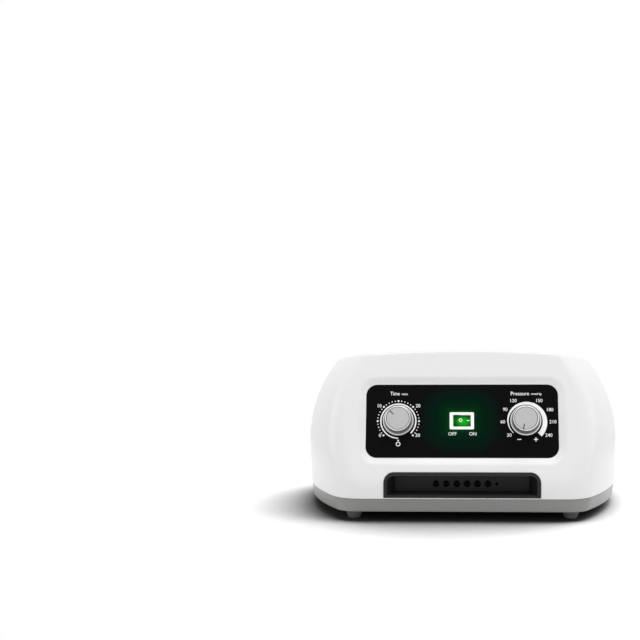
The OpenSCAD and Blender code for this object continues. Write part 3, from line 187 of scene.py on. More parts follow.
# ---- Meshes ----
class Shape:
    """Points and faces of one piece, collected as arrays."""

    def __init__(self):
        self.points, self.faces, self.count = [], [], 0

    def add(self, points):
        """Adds points of any array shape and gives their numbers in that shape."""
        points = np.asarray(points, float)
        self.points.append(points.reshape(-1, 3))
        first, self.count = self.count, self.count + len(self.points[-1])
        return np.arange(first, self.count).reshape(points.shape[:-1])

    def quads(self, grid, keep=None):
        """Faces between neighbouring rows of a grid of numbers, whose last column is joined to its first."""
        after = np.roll(grid, -1, 1)
        cells = np.stack([grid[:-1], after[:-1], after[1:], grid[1:]], -1)
        cells = cells[keep] if keep is not None else cells
        self.faces += cells.reshape(-1, 4).tolist()

    def fan(self, pole, ring, first):
        """Triangles from a pole to a ring; first says that the pole comes before the ring."""
        pole, after = self.add([pole])[0], np.roll(ring, -1)
        a, b = (after, ring) if first else (ring, after)
        self.faces += np.stack([np.full(len(ring), pole), a, b], -1).tolist()

    def turned(self, rings, first, last):
        """A stack of closed rings, with a pole at either end."""
        grid = self.add(rings)
        self.quads(grid)
        self.fan(first, grid[0], True)
        self.fan(last, grid[-1], False)

    def sheet(self, loops, towards):
        """A flat face inside the first loop of numbers and outside the others, facing towards a direction.
        A triangle belongs to it where a line from its middle crosses the loops an odd number of times."""
        numbers = np.concatenate(loops)
        points = np.concatenate(self.points)[numbers]
        flat = np.delete(points, int(np.argmax(np.abs(towards))), 1)
        first = np.cumsum([0] + [len(loop) for loop in loops[:-1]])
        after = np.concatenate([np.roll(np.arange(len(loop)), -1) + k for loop, k in zip(loops, first)])
        edges = np.stack([np.arange(len(numbers)), after], 1)
        cells = np.array(delaunay_2d_cdt(flat.tolist(), edges.tolist(), [], 0, 1e-6)[2])
        middle = flat[cells].mean(1)[:, None]
        a, b = flat, flat[after]
        level = (a[:, 1] > middle[..., 1]) != (b[:, 1] > middle[..., 1])
        rise = np.where(a[:, 1] == b[:, 1], 1.0, b[:, 1] - a[:, 1])
        crossed = level & (a[:, 0] + (middle[..., 1] - a[:, 1]) / rise * (b[:, 0] - a[:, 0]) > middle[..., 0])
        cells = cells[crossed.sum(1) % 2 == 1]
        a, b, c = (points[cells[:, i]] for i in range(3))
        wrong = (np.cross(b - a, c - a) @ np.asarray(towards)) < 0
        cells[wrong] = cells[wrong][:, ::-1]
        self.faces += numbers[cells].tolist()


def rounded(corners, radii, steps=5):
    """A polyline whose corners become quadratic curves that start the radius away from the corner."""
    corners, line = np.asarray(corners, float), []
    for i, r in enumerate(radii):
        if r <= 0 or i in (0, len(corners) - 1):
            line.append(corners[i][None])
            continue
        a, b = (corners[j] - corners[i] for j in (i - 1, i + 1))
        a, b = corners[i] + a / np.linalg.norm(a) * r, corners[i] + b / np.linalg.norm(b) * r
        s = np.linspace(0, 1, steps + 1)[:, None]
        line.append((1 - s) ** 2 * a + 2 * s * (1 - s) * corners[i] + s * s * b)
    return np.concatenate(line)


def outline(centre, half, r, steps=8):
    """Rounded rectangle as centres and directions: a point lies r - t from its centre, t inside the edge."""
    angles = np.concatenate([np.linspace(k * 90, k * 90 + 90, steps + 1) for k in (-1, 0, 1, 2)])
    sign = np.repeat([[1, -1], [1, 1], [-1, 1], [-1, -1]], steps + 1, 0)
    middles = np.asarray(centre) + sign * (np.asarray(half) - r)
    a = np.radians(angles)
    return middles, np.stack([np.cos(a), np.sin(a)], -1), np.full(len(a), r)


def nearest(points, centre, half, r, r_low):
    """The same for the outline point nearest to each outside point. The lower corners have the radius r_low."""
    p = np.asarray(points) - centre
    radius = np.where(p[:, 1] < 0, r_low, r)
    inner = np.asarray(half) - radius[:, None]
    middles = np.clip(p, -inner, inner)
    way = p - middles
    return middles + centre, way / np.linalg.norm(way, axis=1)[:, None], radius


def rings_along(line, profile, place):
    """A profile of (distance in from the outline, height above the plane), carried round the outline."""
    middles, way, radius = line
    return np.stack([place(middles + (radius - t)[:, None] * way, h) for t, h in profile])


def on_panel(flat, h, x=0.0):
    """Panel coordinates (across, up, height above the panel) to the case."""
    d = np.asarray(h) - RECESS
    s, c = math.sin(LEAN), math.cos(LEAN)
    u, v = flat[..., 0], flat[..., 1]
    return np.stack([u + x, face_y(np.array(PANEL_Z)) + v * s - d * c, PANEL_Z + v * c + d * s + 0 * u], -1)


def on_rear(flat, h):
    """Rear wall coordinates (across as seen from behind, height) to the case."""
    return np.stack([-flat[..., 0], REAR_Y - SKIN + h + 0 * flat[..., 0], flat[..., 1]], -1)


def on_face(flat, h):
    """Front coordinates (across, height) on the case's front surface."""
    y = face_y(flat[..., 1]) + SKIN / math.cos(LEAN) - h
    return np.stack([flat[..., 0], y, flat[..., 1]], -1)


def flat_z(flat, h):
    """Plan coordinates at a height, seen from below."""
    return np.stack([flat[..., 0], -flat[..., 1], h + 0 * flat[..., 0]], -1)


def lathe(profile, steps, place):
    """(radius, height) pairs turned about the height axis, which starts and ends on that axis."""
    a = np.linspace(0, 2 * np.pi, steps, endpoint=False)
    flat = profile[1:-1, 0][:, None, None] * np.stack([np.cos(a), np.sin(a)], -1)
    shape = Shape()
    shape.turned(place(flat, profile[1:-1, 1][:, None]), place(np.zeros(2), profile[0, 1]),
                 place(np.zeros(2), profile[-1, 1]))
    return shape


# ---- Pieces ----
def finish_piece(obj, material, body, node=(), slot=None, corner=35):
    """Smooth shading, sharp above the corner angle, the material, and what it rides on and stands for."""
    obj.data.materials.clear()
    obj.data.materials.append(material)
    obj.data.shade_smooth()
    obj.data.set_sharp_from_angle(angle=math.radians(corner))
    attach(obj, body)
    if node:
        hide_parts(*node)


def mesh_piece(name, shapes, material, body, **how):
    """One object from one or more shapes, in metres."""
    shapes = shapes if isinstance(shapes, list) else [shapes]
    points, faces, first = [], [], 0
    for shape in shapes:
        points += shape.points
        faces += [[first + i for i in face] for face in shape.faces]
        first += shape.count
    data = bpy.data.meshes.new(name)
    data.from_pydata((np.concatenate(points) * MM).tolist(), [], faces)
    data.update()
    obj = bpy.data.objects.new(name, data)
    bpy.context.scene.collection.objects.link(obj)
    finish_piece(obj, material, body, **how)


def softened(node, name, material, body, edge, slot):
    """A merged copy of a CAD node whose edges are rounded."""
    data = bpy.data.meshes.new(name)
    work = bmesh.new()
    work.from_mesh(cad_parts[node].data)
    bmesh.ops.remove_doubles(work, verts=work.verts, dist=2e-6)
    bmesh.ops.dissolve_limit(work, angle_limit=math.radians(0.4), verts=work.verts, edges=work.edges)
    work.to_mesh(data)
    work.free()
    obj = bpy.data.objects.new(name, data)
    bpy.context.scene.collection.objects.link(obj)
    bevel = obj.modifiers.new("edge", "BEVEL")
    bevel.width, bevel.segments, bevel.limit_method = edge * MM, 3, "ANGLE"
    bevel.angle_limit, bevel.use_clamp_overlap = math.radians(32), True
    finish_piece(obj, material, body, node=(node,), slot=slot, corner=32)


# ---- Materials ----
def srgb(code):
    """An sRGB hex colour as linear red, green, blue and one."""
    c = np.array([int(code[i:i + 2], 16) for i in (1, 3, 5)]) / 255
    return (*np.where(c <= 0.04045, c / 12.92, ((c + 0.055) / 1.055) ** 2.4).tolist(), 1.0)


def node(tree, kind, inputs=None, **settings):
    """Adds a node: settings are its properties, inputs are values or sockets to link from."""
    made = tree.nodes.new(kind)
    for key, value in settings.items():
        setattr(made, key, value)
    for key, value in (inputs or {}).items():
        if isinstance(value, bpy.types.NodeSocket):
            tree.links.new(value, made.inputs[key])
        else:
            made.inputs[key].default_value = value
    return made


def material(name):
    """An empty material: its tree, Principled shader and Object coordinates."""
    made = bpy.data.materials.new(name)
    made.use_nodes = True
    tree = made.node_tree
    tree.nodes.clear()
    shader = node(tree, "ShaderNodeBsdfPrincipled")
    node(tree, "ShaderNodeOutputMaterial", {"Surface": shader.outputs["BSDF"]})
    return made, tree, shader, node(tree, "ShaderNodeTexCoord").outputs["Object"]


def noise(tree, place, size, detail=2.0):
    """Noise whose spots are about the given size in millimetres."""
    made = node(tree, "ShaderNodeTexNoise", {"Vector": place, "Scale": 1 / (size * MM), "Detail": detail})
    return made.outputs["Fac"]


def between(tree, share, low, high, **settings):
    """A colour between two."""
    return node(tree, "ShaderNodeMix", {0: share, 6: low, 7: high}, data_type="RGBA", **settings).outputs[2]


def darker(colour, share):
    """A colour times a share."""
    return tuple(c * share for c in colour[:3]) + (1.0,)


def raised(tree, shader, height, depth):
    """Raises the surface by a pattern, as deep as the given millimetres."""
    bump = node(tree, "ShaderNodeBump", {"Height": height, "Strength": 1.0, "Distance": depth * MM})
    tree.links.new(bump.outputs["Normal"], shader.inputs["Normal"])


def constant(shader, values):
    """Numbers and colours that are the same all over the surface."""
    for key, value in values.items():
        shader.inputs[key].default_value = value


def math_node(tree, work, first, second=0.0):
    """Arithmetic on numbers or sockets."""
    return node(tree, "ShaderNodeMath", {0: first, 1: second}, operation=work).outputs[0]


def span(tree, value, low, high, start=0.0, end=1.0, **settings):
    """A value's way from low to high as a way from start to end."""
    made = node(tree, "ShaderNodeMapRange", {"Value": value, "From Min": low, "From Max": high,
                                             "To Min": start, "To Max": end}, **settings)
    return made.outputs[0]


def moulded(name, colour, rough, grain=0.6, depth=0.004, cloud=0.03, coat=0.0, glow=None, shine=0.5):
    """Moulded plastic, rubber or paint: a fine grain of the given size and depth in millimetres, and a faint
    cloudiness 40 mm across in colour and gloss."""
    made, tree, shader, place = material(name)
    clouds, base = noise(tree, place, 40.0), srgb(colour)
    tree.links.new(between(tree, clouds, darker(base, 1 - cloud), base), shader.inputs["Base Color"])
    tree.links.new(span(tree, clouds, 0.3, 0.7, rough * 0.92, rough * 1.08), shader.inputs["Roughness"])
    raised(tree, shader, noise(tree, place, grain, 3.0), depth)
    constant(shader, {"IOR": 1.5, "Specular IOR Level": shine})
    if coat:
        constant(shader, {"Coat Weight": coat, "Coat Roughness": 0.08})
    if glow:
        constant(shader, {"Emission Color": srgb(glow[0]), "Emission Strength": glow[1]})
    return made


def drawn_metal(name, colour, rough, stretch=(1, 1, 12), line=0.5, depth=0.003):
    """Rolled, drawn or ground metal: fine lines along one axis, spaced in millimetres."""
    made, tree, shader, place = material(name)
    scale = tuple(1 / (s * line * MM) for s in stretch)
    along = node(tree, "ShaderNodeMapping", {"Vector": place, "Scale": scale}).outputs["Vector"]
    lines = node(tree, "ShaderNodeTexNoise", {"Vector": along, "Scale": 1.0, "Detail": 2.0}).outputs["Fac"]
    base = srgb(colour)
    tree.links.new(between(tree, lines, darker(base, 0.86), base), shader.inputs["Base Color"])
    tree.links.new(span(tree, lines, 0.0, 1.0, rough * 0.8, rough * 1.2), shader.inputs["Roughness"])
    raised(tree, shader, lines, depth)
    constant(shader, {"Metallic": 1.0})
    return made


def panel_place(tree, place, x=0.0):
    """Object coordinates turned to the panel: across, up and height, in millimetres from a point on it."""
    centre = on_panel(np.array([0.0, 0.0]), 0.0, x) * MM
    shift = node(tree, "ShaderNodeVectorMath", {0: place, 1: tuple(centre)}, operation="SUBTRACT").outputs[0]
    turn = node(tree, "ShaderNodeVectorRotate", {"Vector": shift, "Center": (0, 0, 0), "Axis": (1, 0, 0),
                                                 "Angle": LEAN - math.pi / 2}, rotation_type="AXIS_ANGLE")
    scaled = node(tree, "ShaderNodeVectorMath", {0: turn.outputs[0], "Scale": 1 / MM}, operation="SCALE")
    return scaled.outputs[0]


def distance(tree, x, y):
    """Length of a flat vector."""
    flat = node(tree, "ShaderNodeCombineXYZ", {"X": x, "Y": y}).outputs[0]
    return node(tree, "ShaderNodeVectorMath", {0: flat}, operation="LENGTH").outputs["Value"]


def reach(tree, local, centre, half, across, up):
    """How far a panel point lies outside a rectangle round the switch: 0 in it, 1 at the given distances."""
    parts = node(tree, "ShaderNodeSeparateXYZ", {0: local})
    outside = []
    for axis, mid, edge, far in (("X", centre[0], half[0], across), ("Y", centre[1], half[1], up)):
        off = math_node(tree, "ABSOLUTE", math_node(tree, "SUBTRACT", parts.outputs[axis], mid))
        outside.append(math_node(tree, "MAXIMUM", span(tree, off, edge, edge + far, clamp=False)))
    return distance(tree, *outside)


def ramp(tree, value, stops, mode="LINEAR"):
    """A colour ramp with stops of (position, sRGB hex)."""
    made = node(tree, "ShaderNodeValToRGB", {"Fac": value})
    line = made.color_ramp
    line.interpolation = mode
    while len(line.elements) < len(stops):
        line.elements.new(0.5)
    for element, (where, colour) in zip(line.elements, stops):
        element.position, element.color = where, srgb(colour)
    return made.outputs["Color"]


def panel_film(name):
    """Printed polycarbonate film over black: smooth, near black, with a painted green glow for the switch
    lamp's light spreading in it to about 36 mm on either side and 32 mm up and down."""
    made, tree, shader, place = material(name)
    # painted light: the lamp's glow is an emission by distance from the switch, and the film's colour turns a
    # greener black there
    far = reach(tree, panel_place(tree, place), (-1.0, 0.8), (9.5, 7.5), 27.0, 24.0)
    plain = between(tree, noise(tree, place, 25.0), srgb("#0b0b0b"), srgb("#101010"))
    tint = between(tree, span(tree, far, 0.45, 1.1), srgb("#000302"), plain)
    tree.links.new(tint, shader.inputs["Base Color"])
    raised(tree, shader, noise(tree, place, 0.35), 0.002)
    glow = ramp(tree, far, [(0.0, "#004c0a"), (0.05, "#00340c"), (0.15, "#00270f"), (0.4, "#001c10"),
                            (0.7, "#00130d"), (1.0, "#000000")])
    tree.links.new(glow, shader.inputs["Emission Color"])
    constant(shader, {"Roughness": 0.42, "Specular IOR Level": 0.02, "Emission Strength": 1.0})
    return made


def lit_green(name):
    """Clear green polycarbonate over a lamp, with a painted glow: brightest a little right of the middle, dark
    towards the ends.
    """
    made, tree, shader, place = material(name)
    far = reach(tree, panel_place(tree, place), (1.2, -0.6), (0.0, 0.0), 8.2, 5.6)
    raised(tree, shader, noise(tree, place, 2.2), 0.01)
    # painted glow: emission for the lamp's light through the rocker
    glow = ramp(tree, far, [(0.0, "#05bc12"), (0.45, "#06960b"), (0.85, "#035a06"), (1.0, "#023a04")], "EASE")
    tree.links.new(glow, shader.inputs["Emission Color"])
    constant(shader, {"Base Color": srgb("#022a05"), "Roughness": 0.2, "Specular IOR Level": 0.06,
                      "Emission Strength": 1.0})
    return made


# Knob colours by radius: the face's own satin grey, with painted shade in the groove and on the grip and
# painted highlights on the rim and skirt edge
RING_PITCH, KNOB_TINT_AND_PAINTED_LIGHT = 0.35, [  # radius on the knob and colour there
    (9.6, "#bcbcbc"), (9.75, "#5c5c5c"), (10.15, "#5c5c5c"), (10.3, "#f2f2f2"), (11.0, "#f2f2f2"),
    (11.3, "#7c7c7c"), (12.3, "#8c8c8c"), (12.6, "#e4e4e4"), (13.2, "#e4e4e4"), (13.45, "#6c6c6c")]


def turned_silver(name, x):
    """Satin silver on a turned knob: fine rings round its axis, and by radius painted shade in the groove round
    the face, painted highlights on the chamfered rim and the skirt edge, and a painted darker grip between
    them."""
    made, tree, shader, place = material(name)
    parts = node(tree, "ShaderNodeSeparateXYZ", {0: panel_place(tree, place, x)})
    radius = distance(tree, parts.outputs["X"], parts.outputs["Y"])
    both = node(tree, "ShaderNodeCombineXYZ", {"X": radius, "Y": parts.outputs["Z"]}).outputs[0]
    rings = node(tree, "ShaderNodeTexNoise", {"Vector": both, "Scale": 1 / RING_PITCH, "Detail": 3.0})
    rings = rings.outputs["Fac"]
    share = math_node(tree, "MULTIPLY", radius, 1 / 14.0)
    # painted light: shade and highlight rings by radius
    painted_rings = ramp(tree, share, [(at / 14.0, colour) for at, colour in KNOB_TINT_AND_PAINTED_LIGHT])
    fine = between(tree, rings, srgb("#e2e2e2"), srgb("#ffffff"))
    tint = between(tree, 1.0, painted_rings, fine, blend_type="MULTIPLY")
    tree.links.new(tint, shader.inputs["Base Color"])
    raised(tree, shader, rings, 0.006)
    constant(shader, {"Metallic": 0.75, "Roughness": 0.36})
    return made


# Injection moulded ABS with a faint grain: a clean white with a soft gloss
WHITE_ABS = moulded("white_moulded_abs", "#ececec", 0.3, grain=0.5, depth=0.0015, cloud=0.015, coat=0.1)
# The same ABS in mid grey with a spark-eroded grain, so that it reads duller than the cover
GREY_ABS = moulded("grey_textured_abs", "#878685", 0.36, grain=0.8, depth=0.005, cloud=0.04, coat=0.25)
# Printed polycarbonate film, smooth and near black, with a painted green glow round the switch
BLACK_FILM = panel_film("black_polycarbonate_film")
# Screen printed white ink: flat, with a faint painted glow that keeps it bright against the film
WHITE_INK = moulded("white_screen_ink", "#f4f4f4", 0.5, grain=0.3, depth=0.001, cloud=0.02,
                    glow=("#ffffff", 0.12))
# Black ABS with a fine grain: the bay's frame shows dark grey where it is lit
BLACK_ABS = moulded("black_textured_abs", "#222222", 0.45, grain=0.7, depth=0.006, cloud=0.06, shine=0.2)
# Black nylon, its own black deepened by painted shade, so that the sockets and the inlet read as openings
PORT_BLACK_AND_SHADE = moulded("black_nylon_and_painted_shade", "#0b0b0b", 0.45, grain=0.6, depth=0.004, cloud=0.08, shine=0.2)
# Glass-filled nylon: dull, with a coarse grain
INNER_GREY = moulded("grey_glass_filled_nylon", "#55585c", 0.55, grain=0.9, depth=0.01, cloud=0.08)
# Silicone rubber: soft black without highlights
SEAL_RUBBER = moulded("black_silicone_rubber", "#18181a", 0.62, grain=0.7, depth=0.008, cloud=0.08)
# Moulded rubber in mid grey: matt, so that the feet stay quiet under the base
FOOT_RUBBER = moulded("grey_foot_rubber", "#6a6a6a", 0.7, grain=0.8, depth=0.012, cloud=0.07)
# Unpainted ABS: warm, slightly glossy
IVORY = moulded("ivory_moulded_abs", "#e6dfc9", 0.42, grain=0.7, depth=0.004, cloud=0.03)
# Acetal: waxy white with a clear gloss
ACETAL = moulded("white_acetal", "#eeeeea", 0.3, grain=0.8, depth=0.002, cloud=0.02)
# Pressed felt: rough all over, no gloss
FELT = moulded("filter_felt", "#ddd8c8", 0.95, grain=0.5, depth=0.12, cloud=0.08)
# Printed polyester label: flat pale silver
LABEL = moulded("silver_label_film", "#c9cbcd", 0.34, grain=1.2, depth=0.002, cloud=0.04)
# PVC wire insulation: brown with a soft gloss
WIRE_BROWN = moulded("brown_pvc_insulation", "#5f3d28", 0.45, grain=0.6, depth=0.004, cloud=0.07)
# Polyester tape over enamelled wire: amber, uneven
COIL_TAPE = moulded("amber_coil_tape", "#b5772f", 0.4, grain=0.5, depth=0.01, cloud=0.12)
# Satin silver knob caps, turned in fine rings, each about its own axis, with painted rings of shade and
# highlight
TIMER_SILVER = turned_silver("turned_satin_silver_timer", -KNOB_X)
PRESSURE_SILVER = turned_silver("turned_satin_silver_pressure", KNOB_X)
# Painted shade: a dark grey strip on the floor of the pointer's groove, so that the groove reads as a thin dark
# line
POINTER_GROOVE_SHADE = moulded("pointer_groove_painted_shade", "#3a3a3a", 0.5, grain=0.3, depth=0.001, cloud=0.05)
# Zinc plate: cool grey, fine drawn lines
STEEL = drawn_metal("zinc_plated_steel", "#c3c6c9", 0.32)
# Turned brass: warm yellow
BRASS = drawn_metal("turned_brass", "#c9a659", 0.3)
# Deep-drawn steel can: a little duller, with long upright lines
MOTOR_STEEL = drawn_metal("drawn_motor_steel", "#b6b8ba", 0.36, stretch=(1, 1, 20), line=0.8)
# Rolled aluminium: pale, with fine lines from side to side
BED_METAL = drawn_metal("rolled_aluminium_sheet", "#c9cbcc", 0.4, stretch=(25, 1, 1), line=0.6)
# Stacked iron sheets: dark, with the layers showing
CORE_IRON = drawn_metal("laminated_core_iron", "#5e6266", 0.5, stretch=(60, 60, 1), line=0.5, depth=0.02)
# Backlit switch: white housing with a faint painted glow for the lamp's light, and a clear green rocker with a
# painted glow
SWITCH_WHITE = moulded("backlit_white_nylon", "#f2f4f2", 0.35, grain=0.5, depth=0.002, cloud=0.01,
                       glow=("#ffffff", 0.16))
ROCKER_GREEN = lit_green("lit_green_polycarbonate")
# Lamp glass, lit: a pale green core under the rocker
LAMP = moulded("lamp_glass", "#c8ffc8", 0.1, grain=1.5, depth=0.002, cloud=0.02, glow=("#7dff7d", 3.0))
# Fuse glass: smooth and pale, unlit
FUSE_GLASS = moulded("fuse_glass", "#cfd4d2", 0.08, grain=1.5, depth=0.002, cloud=0.03)
# Silicone tube: milky clear
TUBE = moulded("clear_silicone_tube", "#dfe6e6", 0.2, grain=1.5, depth=0.004, cloud=0.05)
constant(TUBE.node_tree.nodes["Principled BSDF"], {"Transmission Weight": 0.5})


# ---- White cover ----
# Heights of the wall's rows, as shares of the way from the parting line to the top surface
T_BAY = np.linspace(0.0048, 0.1944, 18)
T_PANEL = np.linspace(0.212, 0.855, 54)
T_WALL = np.concatenate([T_BAY, T_PANEL, np.linspace(T_PANEL[-1], 1 - EDGE_R / (CASE_H - PART_Z), 11)[1:]])


def border(grid, block):
    """Border of a block of grid cells (rows low to high, columns left to right, which may pass the seam), from
    its low left corner to the right, up, back and down."""
    low, high, left, right = block
    n = grid.shape[1]
    step = 1 if high > low else -1
    across, up = np.arange(left, right + 1) % n, np.arange(low + step, high, step)
    sides = [grid[low, across], grid[up, right % n], grid[high, across[::-1]], grid[up[::-1], left % n]]
    return np.concatenate(sides)


def case_skin():
    """White cover as one closed solid: the inner wall from the top down, the rounded lower lip, and the outer
    wall up to the top. Blocks of cells are left out of both walls at the panel, the bay and the rear, and rings
    join the two borders: from the outer wall to the rounded opening, through it, and on to the inner wall."""
    shape = Shape()
    lip = rounded([[PART_Z, WALL], [PART_Z, SKIN], [PART_Z + 0.56, SKIN]], [0, 0.5, 0], 6)
    inner = np.concatenate([cap_rows([0.3, 0.7], WALL), edge_rows([1, 0.5, 0], WALL),
                            wall_rows(T_WALL[::-1], WALL)])
    outer = np.concatenate([height_rows(lip[:, 0], lip[:, 1]), wall_rows(T_WALL, SKIN)])
    rows = np.concatenate([inner, outer, edge_rows(np.linspace(0, 1, 9)[1:], SKIN),
                           cap_rows([0.94, 0.9, 0.84, 0.76, 0.66, 0.55, 0.43, 0.3, 0.16], SKIN)])
    grid = shape.add(rows)
    n, wall = grid.shape[1], len(T_WALL)
    inside, outside = len(inner) - 1, len(inner) + len(lip)
    spans = {"bay": (0, len(T_BAY) - 1, -BAY_COLUMN, BAY_COLUMN),
             "panel": (len(T_BAY), len(T_BAY) + len(T_PANEL) - 1, -PANEL_COLUMN, PANEL_COLUMN),
             "rear": (2, wall - 5, REAR_COLUMN, n - REAR_COLUMN)}
    keep = np.ones((len(rows) - 1, n), bool)
    loops = {}
    for name, (low, high, left, right) in spans.items():
        across = np.arange(left, right) % n
        keep[outside + low:outside + high, across] = False
        keep[inside - high:inside - low, across] = False
        loops[name] = (border(grid, (outside + low, outside + high, left, right)),
                       border(grid, (inside - low, inside - high, left, right)))
    shape.quads(grid, keep=keep)
    middle = [0, MIDDLE_Y, float(top_z(0, MIDDLE_Y))]
    shape.fan(np.subtract(middle, [0, 0, WALL]), grid[0], True)
    shape.fan(np.subtract(middle, [0, 0, SKIN]), grid[-1], False)
    at = rows.reshape(-1, 3)

    def opening(name, flat, line, profile, shares, place, height):
        """Blend rings from the outer border to the opening's rim, its profile, and the inner border."""
        goal = line[0] + (line[2] - profile[0, 0])[:, None] * line[1]
        blend = np.stack([place((1 - s) * flat + s * goal, height) for s in shares])
        rings = shape.add(np.concatenate([blend, rings_along(line, profile, place)]))
        shape.quads(np.concatenate([loops[name][0][None], rings, loops[name][1][None]]))

    # the panel's recess: soft outer edge, slope, narrow rim, and down past the panel
    origin, top = on_panel(np.zeros(2), RECESS), RECESS - SKIN
    off = at[loops["panel"][0]] - origin
    flat = np.stack([off[:, 0], off[:, 1] * math.sin(LEAN) + off[:, 2] * math.cos(LEAN)], -1)
    line = nearest(flat, (0, 0), (PANEL_W / 2 + SLOPE_W, PANEL_H / 2 + SLOPE_W), PANEL_R + SLOPE_W,
                   PANEL_R + SLOPE_W)
    profile = rounded([(-1.8, top), (0, top), (5.6, 0.35), (6.3, 0.35), (6.3, -1.8), (4.5, -1.8), (4.5, -0.2)],
                      [0, 1.4, 0.5, 0.22, 0, 0, 0], 6)
    opening("panel", flat, line, profile, (0.3, 0.65), on_panel, top)
    # the bay's opening, square at its lower corners
    flat = at[loops["bay"][0]][:, [0, 2]]
    line = nearest(flat, (0, (BAY_LOW + BAY_TOP) / 2), (BAY_HALF, (BAY_TOP - BAY_LOW) / 2), BAY_R, 0.4)
    profile = rounded([(-0.3, 0), (0, 0), (0, -2.7)], [0, 0.26, 0], 4)
    opening("bay", flat, line, profile, (0.25, 0.5, 0.75), on_face, 0.0)
    # the rear wall with the inlet's opening and nine vent slots
    front, back = [loops["rear"][0]], [loops["rear"][1]]
    edge = rounded([(-0.35, 0), (0, 0), (0, -2.7)], [0, 0.33, 0], 4)
    holes = [outline((-INLET_X, REAR_Z), INLET_HALF, 0.6, 3)]
    holes += [outline((-VENT_X + VENT_PITCH * i, REAR_Z), VENT_HALF, VENT_HALF[0] - 1e-3, 8)
              for i in range(-4, 5)]
    for hole in holes:
        rings = shape.add(rings_along(hole, edge, on_rear))
        shape.quads(rings)
        front.append(rings[0])
        back.append(rings[-1])
    shape.sheet(front, (0, 1, 0))
    shape.sheet(back, (0, -1, 0))
    mesh_piece("case_cover", shape, WHITE_ABS, "pump_case", node=("upper_housing",), slot="housing_white",
               corner=40)


# ---- Grey base ----
def base_skin():
    """Grey base: rings of the plan at the parting line, carried along a profile from the underside round the
    chamfer and the outer wall, over the top edge, down inside and across the floor."""
    shape = Shape()
    chamfer_z, square_z, top = BASE_Z + 0.8, BASE_Z + 4.0, PART_Z - 0.12
    line = rounded([(BASE_Z, 5.0), (BASE_Z, 2.4), (chamfer_z, 1.6), (square_z, 1.3), (top, 0.6), (top, 2.6),
                    (FLOOR_Z, 3.2), (FLOOR_Z, 7.0)], [0, 0.4, 0.4, 0.8, 0.5, 0, 0, 0], 5)
    tight = np.interp(line[:, :1], [chamfer_z, square_z, PART_Z], [8.0, 4.0, 0.0])
    x, y = plan(np.full((len(line), 1), PART_Z), line[:, 1:], tight)
    grid = shape.add(whole(x, y, line[:, :1]))
    shape.quads(grid)
    shape.fan([0, MIDDLE_Y, FLOOR_Z], grid[-1], False)
    loops = [grid[0]]
    bore = np.concatenate([rounded([(-0.3, BASE_Z), (0, BASE_Z), (0, 16.0)], [0, 0.25, 0], 3), [(2.1, 16.0)]])
    for x, y in PILLARS:
        for side in (1, -1):
            hole = outline((side * x, -y), (COUNTERBORE, COUNTERBORE), COUNTERBORE - 1e-4, 10)
            rings = shape.add(rings_along(hole, bore, flat_z))
            shape.quads(rings)
            loops.append(rings[0])
    shape.sheet(loops, (0, 0, -1))
    mesh_piece("case_base", shape, GREY_ABS, "pump_case", node=("lower_housing",), slot="base_grey", corner=40)


def feet():
    """Four rubber feet: a turned taper with a rounded tip and a screw well."""
    profile = rounded([(0, 4.4), (3.0, 4.4), (3.0, 0), (5.25, 0), (7.5, 6.5), (7.5, 8.5), (0, 8.5)],
                      [0, 0, 0.3, 1.2, 0.8, 0, 0], 5)
    made = []
    for x, y in FEET:
        for side in (1, -1):
            def spot(flat, h, x=x * side, y=y):
                return np.stack([flat[..., 0] + x, flat[..., 1] + y, h + 0 * flat[..., 0]], -1)
            made.append(lathe(profile, 48, spot))
    mesh_piece("rubber_feet", made, FOOT_RUBBER, "pump_case", node=("feet",), slot="foot_rubber")


# ---- Control panel and its printing ----
def slab(line, low, high, place, edge):
    """A closed flat plate whose front edge is slightly rounded."""
    shape = Shape()
    profile = rounded([(0, low), (0, high), (2 * edge, high)], [0, edge, 0], 2)
    rings = shape.add(rings_along(line, profile, place))
    shape.quads(rings)
    toward = place(np.zeros(2), 1.0) - place(np.zeros(2), 0.0)
    shape.sheet([rings[-1]], toward)
    shape.sheet([rings[0]], -toward)
    return shape


def panel_plate():
    """The black panel: an outline with a fine front radius, holes for two bushes and the switch."""
    shape = Shape()
    side = rounded([(0, -2.0), (0, 0), (0.6, 0)], [0, 0.3, 0], 4)
    rings = shape.add(rings_along(outline((0, 0), (PANEL_W / 2, PANEL_H / 2), PANEL_R, 14), side, on_panel))
    shape.quads(rings)
    front, back = [rings[-1]], [rings[0]]
    bore = rounded([(-0.2, 0), (0, 0), (0, -2.0)], [0, 0.15, 0], 2)
    holes = [outline((x, 0), (BUSH_R, BUSH_R), BUSH_R - 1e-3, 10) for x in (-KNOB_X, KNOB_X)]
    for hole in holes + [outline((0, 0), SWITCH_HALF, 0.3, 2)]:
        rings = shape.add(rings_along(hole, bore, on_panel))
        shape.quads(rings)
        front.append(rings[0])
        back.append(rings[-1])
    out = on_panel(np.zeros(2), 1.0) - on_panel(np.zeros(2), 0.0)
    shape.sheet(front, out)
    shape.sheet(back, -out)
    mesh_piece("panel_plate", shape, BLACK_FILM, "pump_case", node=("control_panel",), slot="panel_black")


INK_LOW, INK_HIGH = 0.0, 0.05
TICK_R, NUMERAL_H = 17.95, 3.0


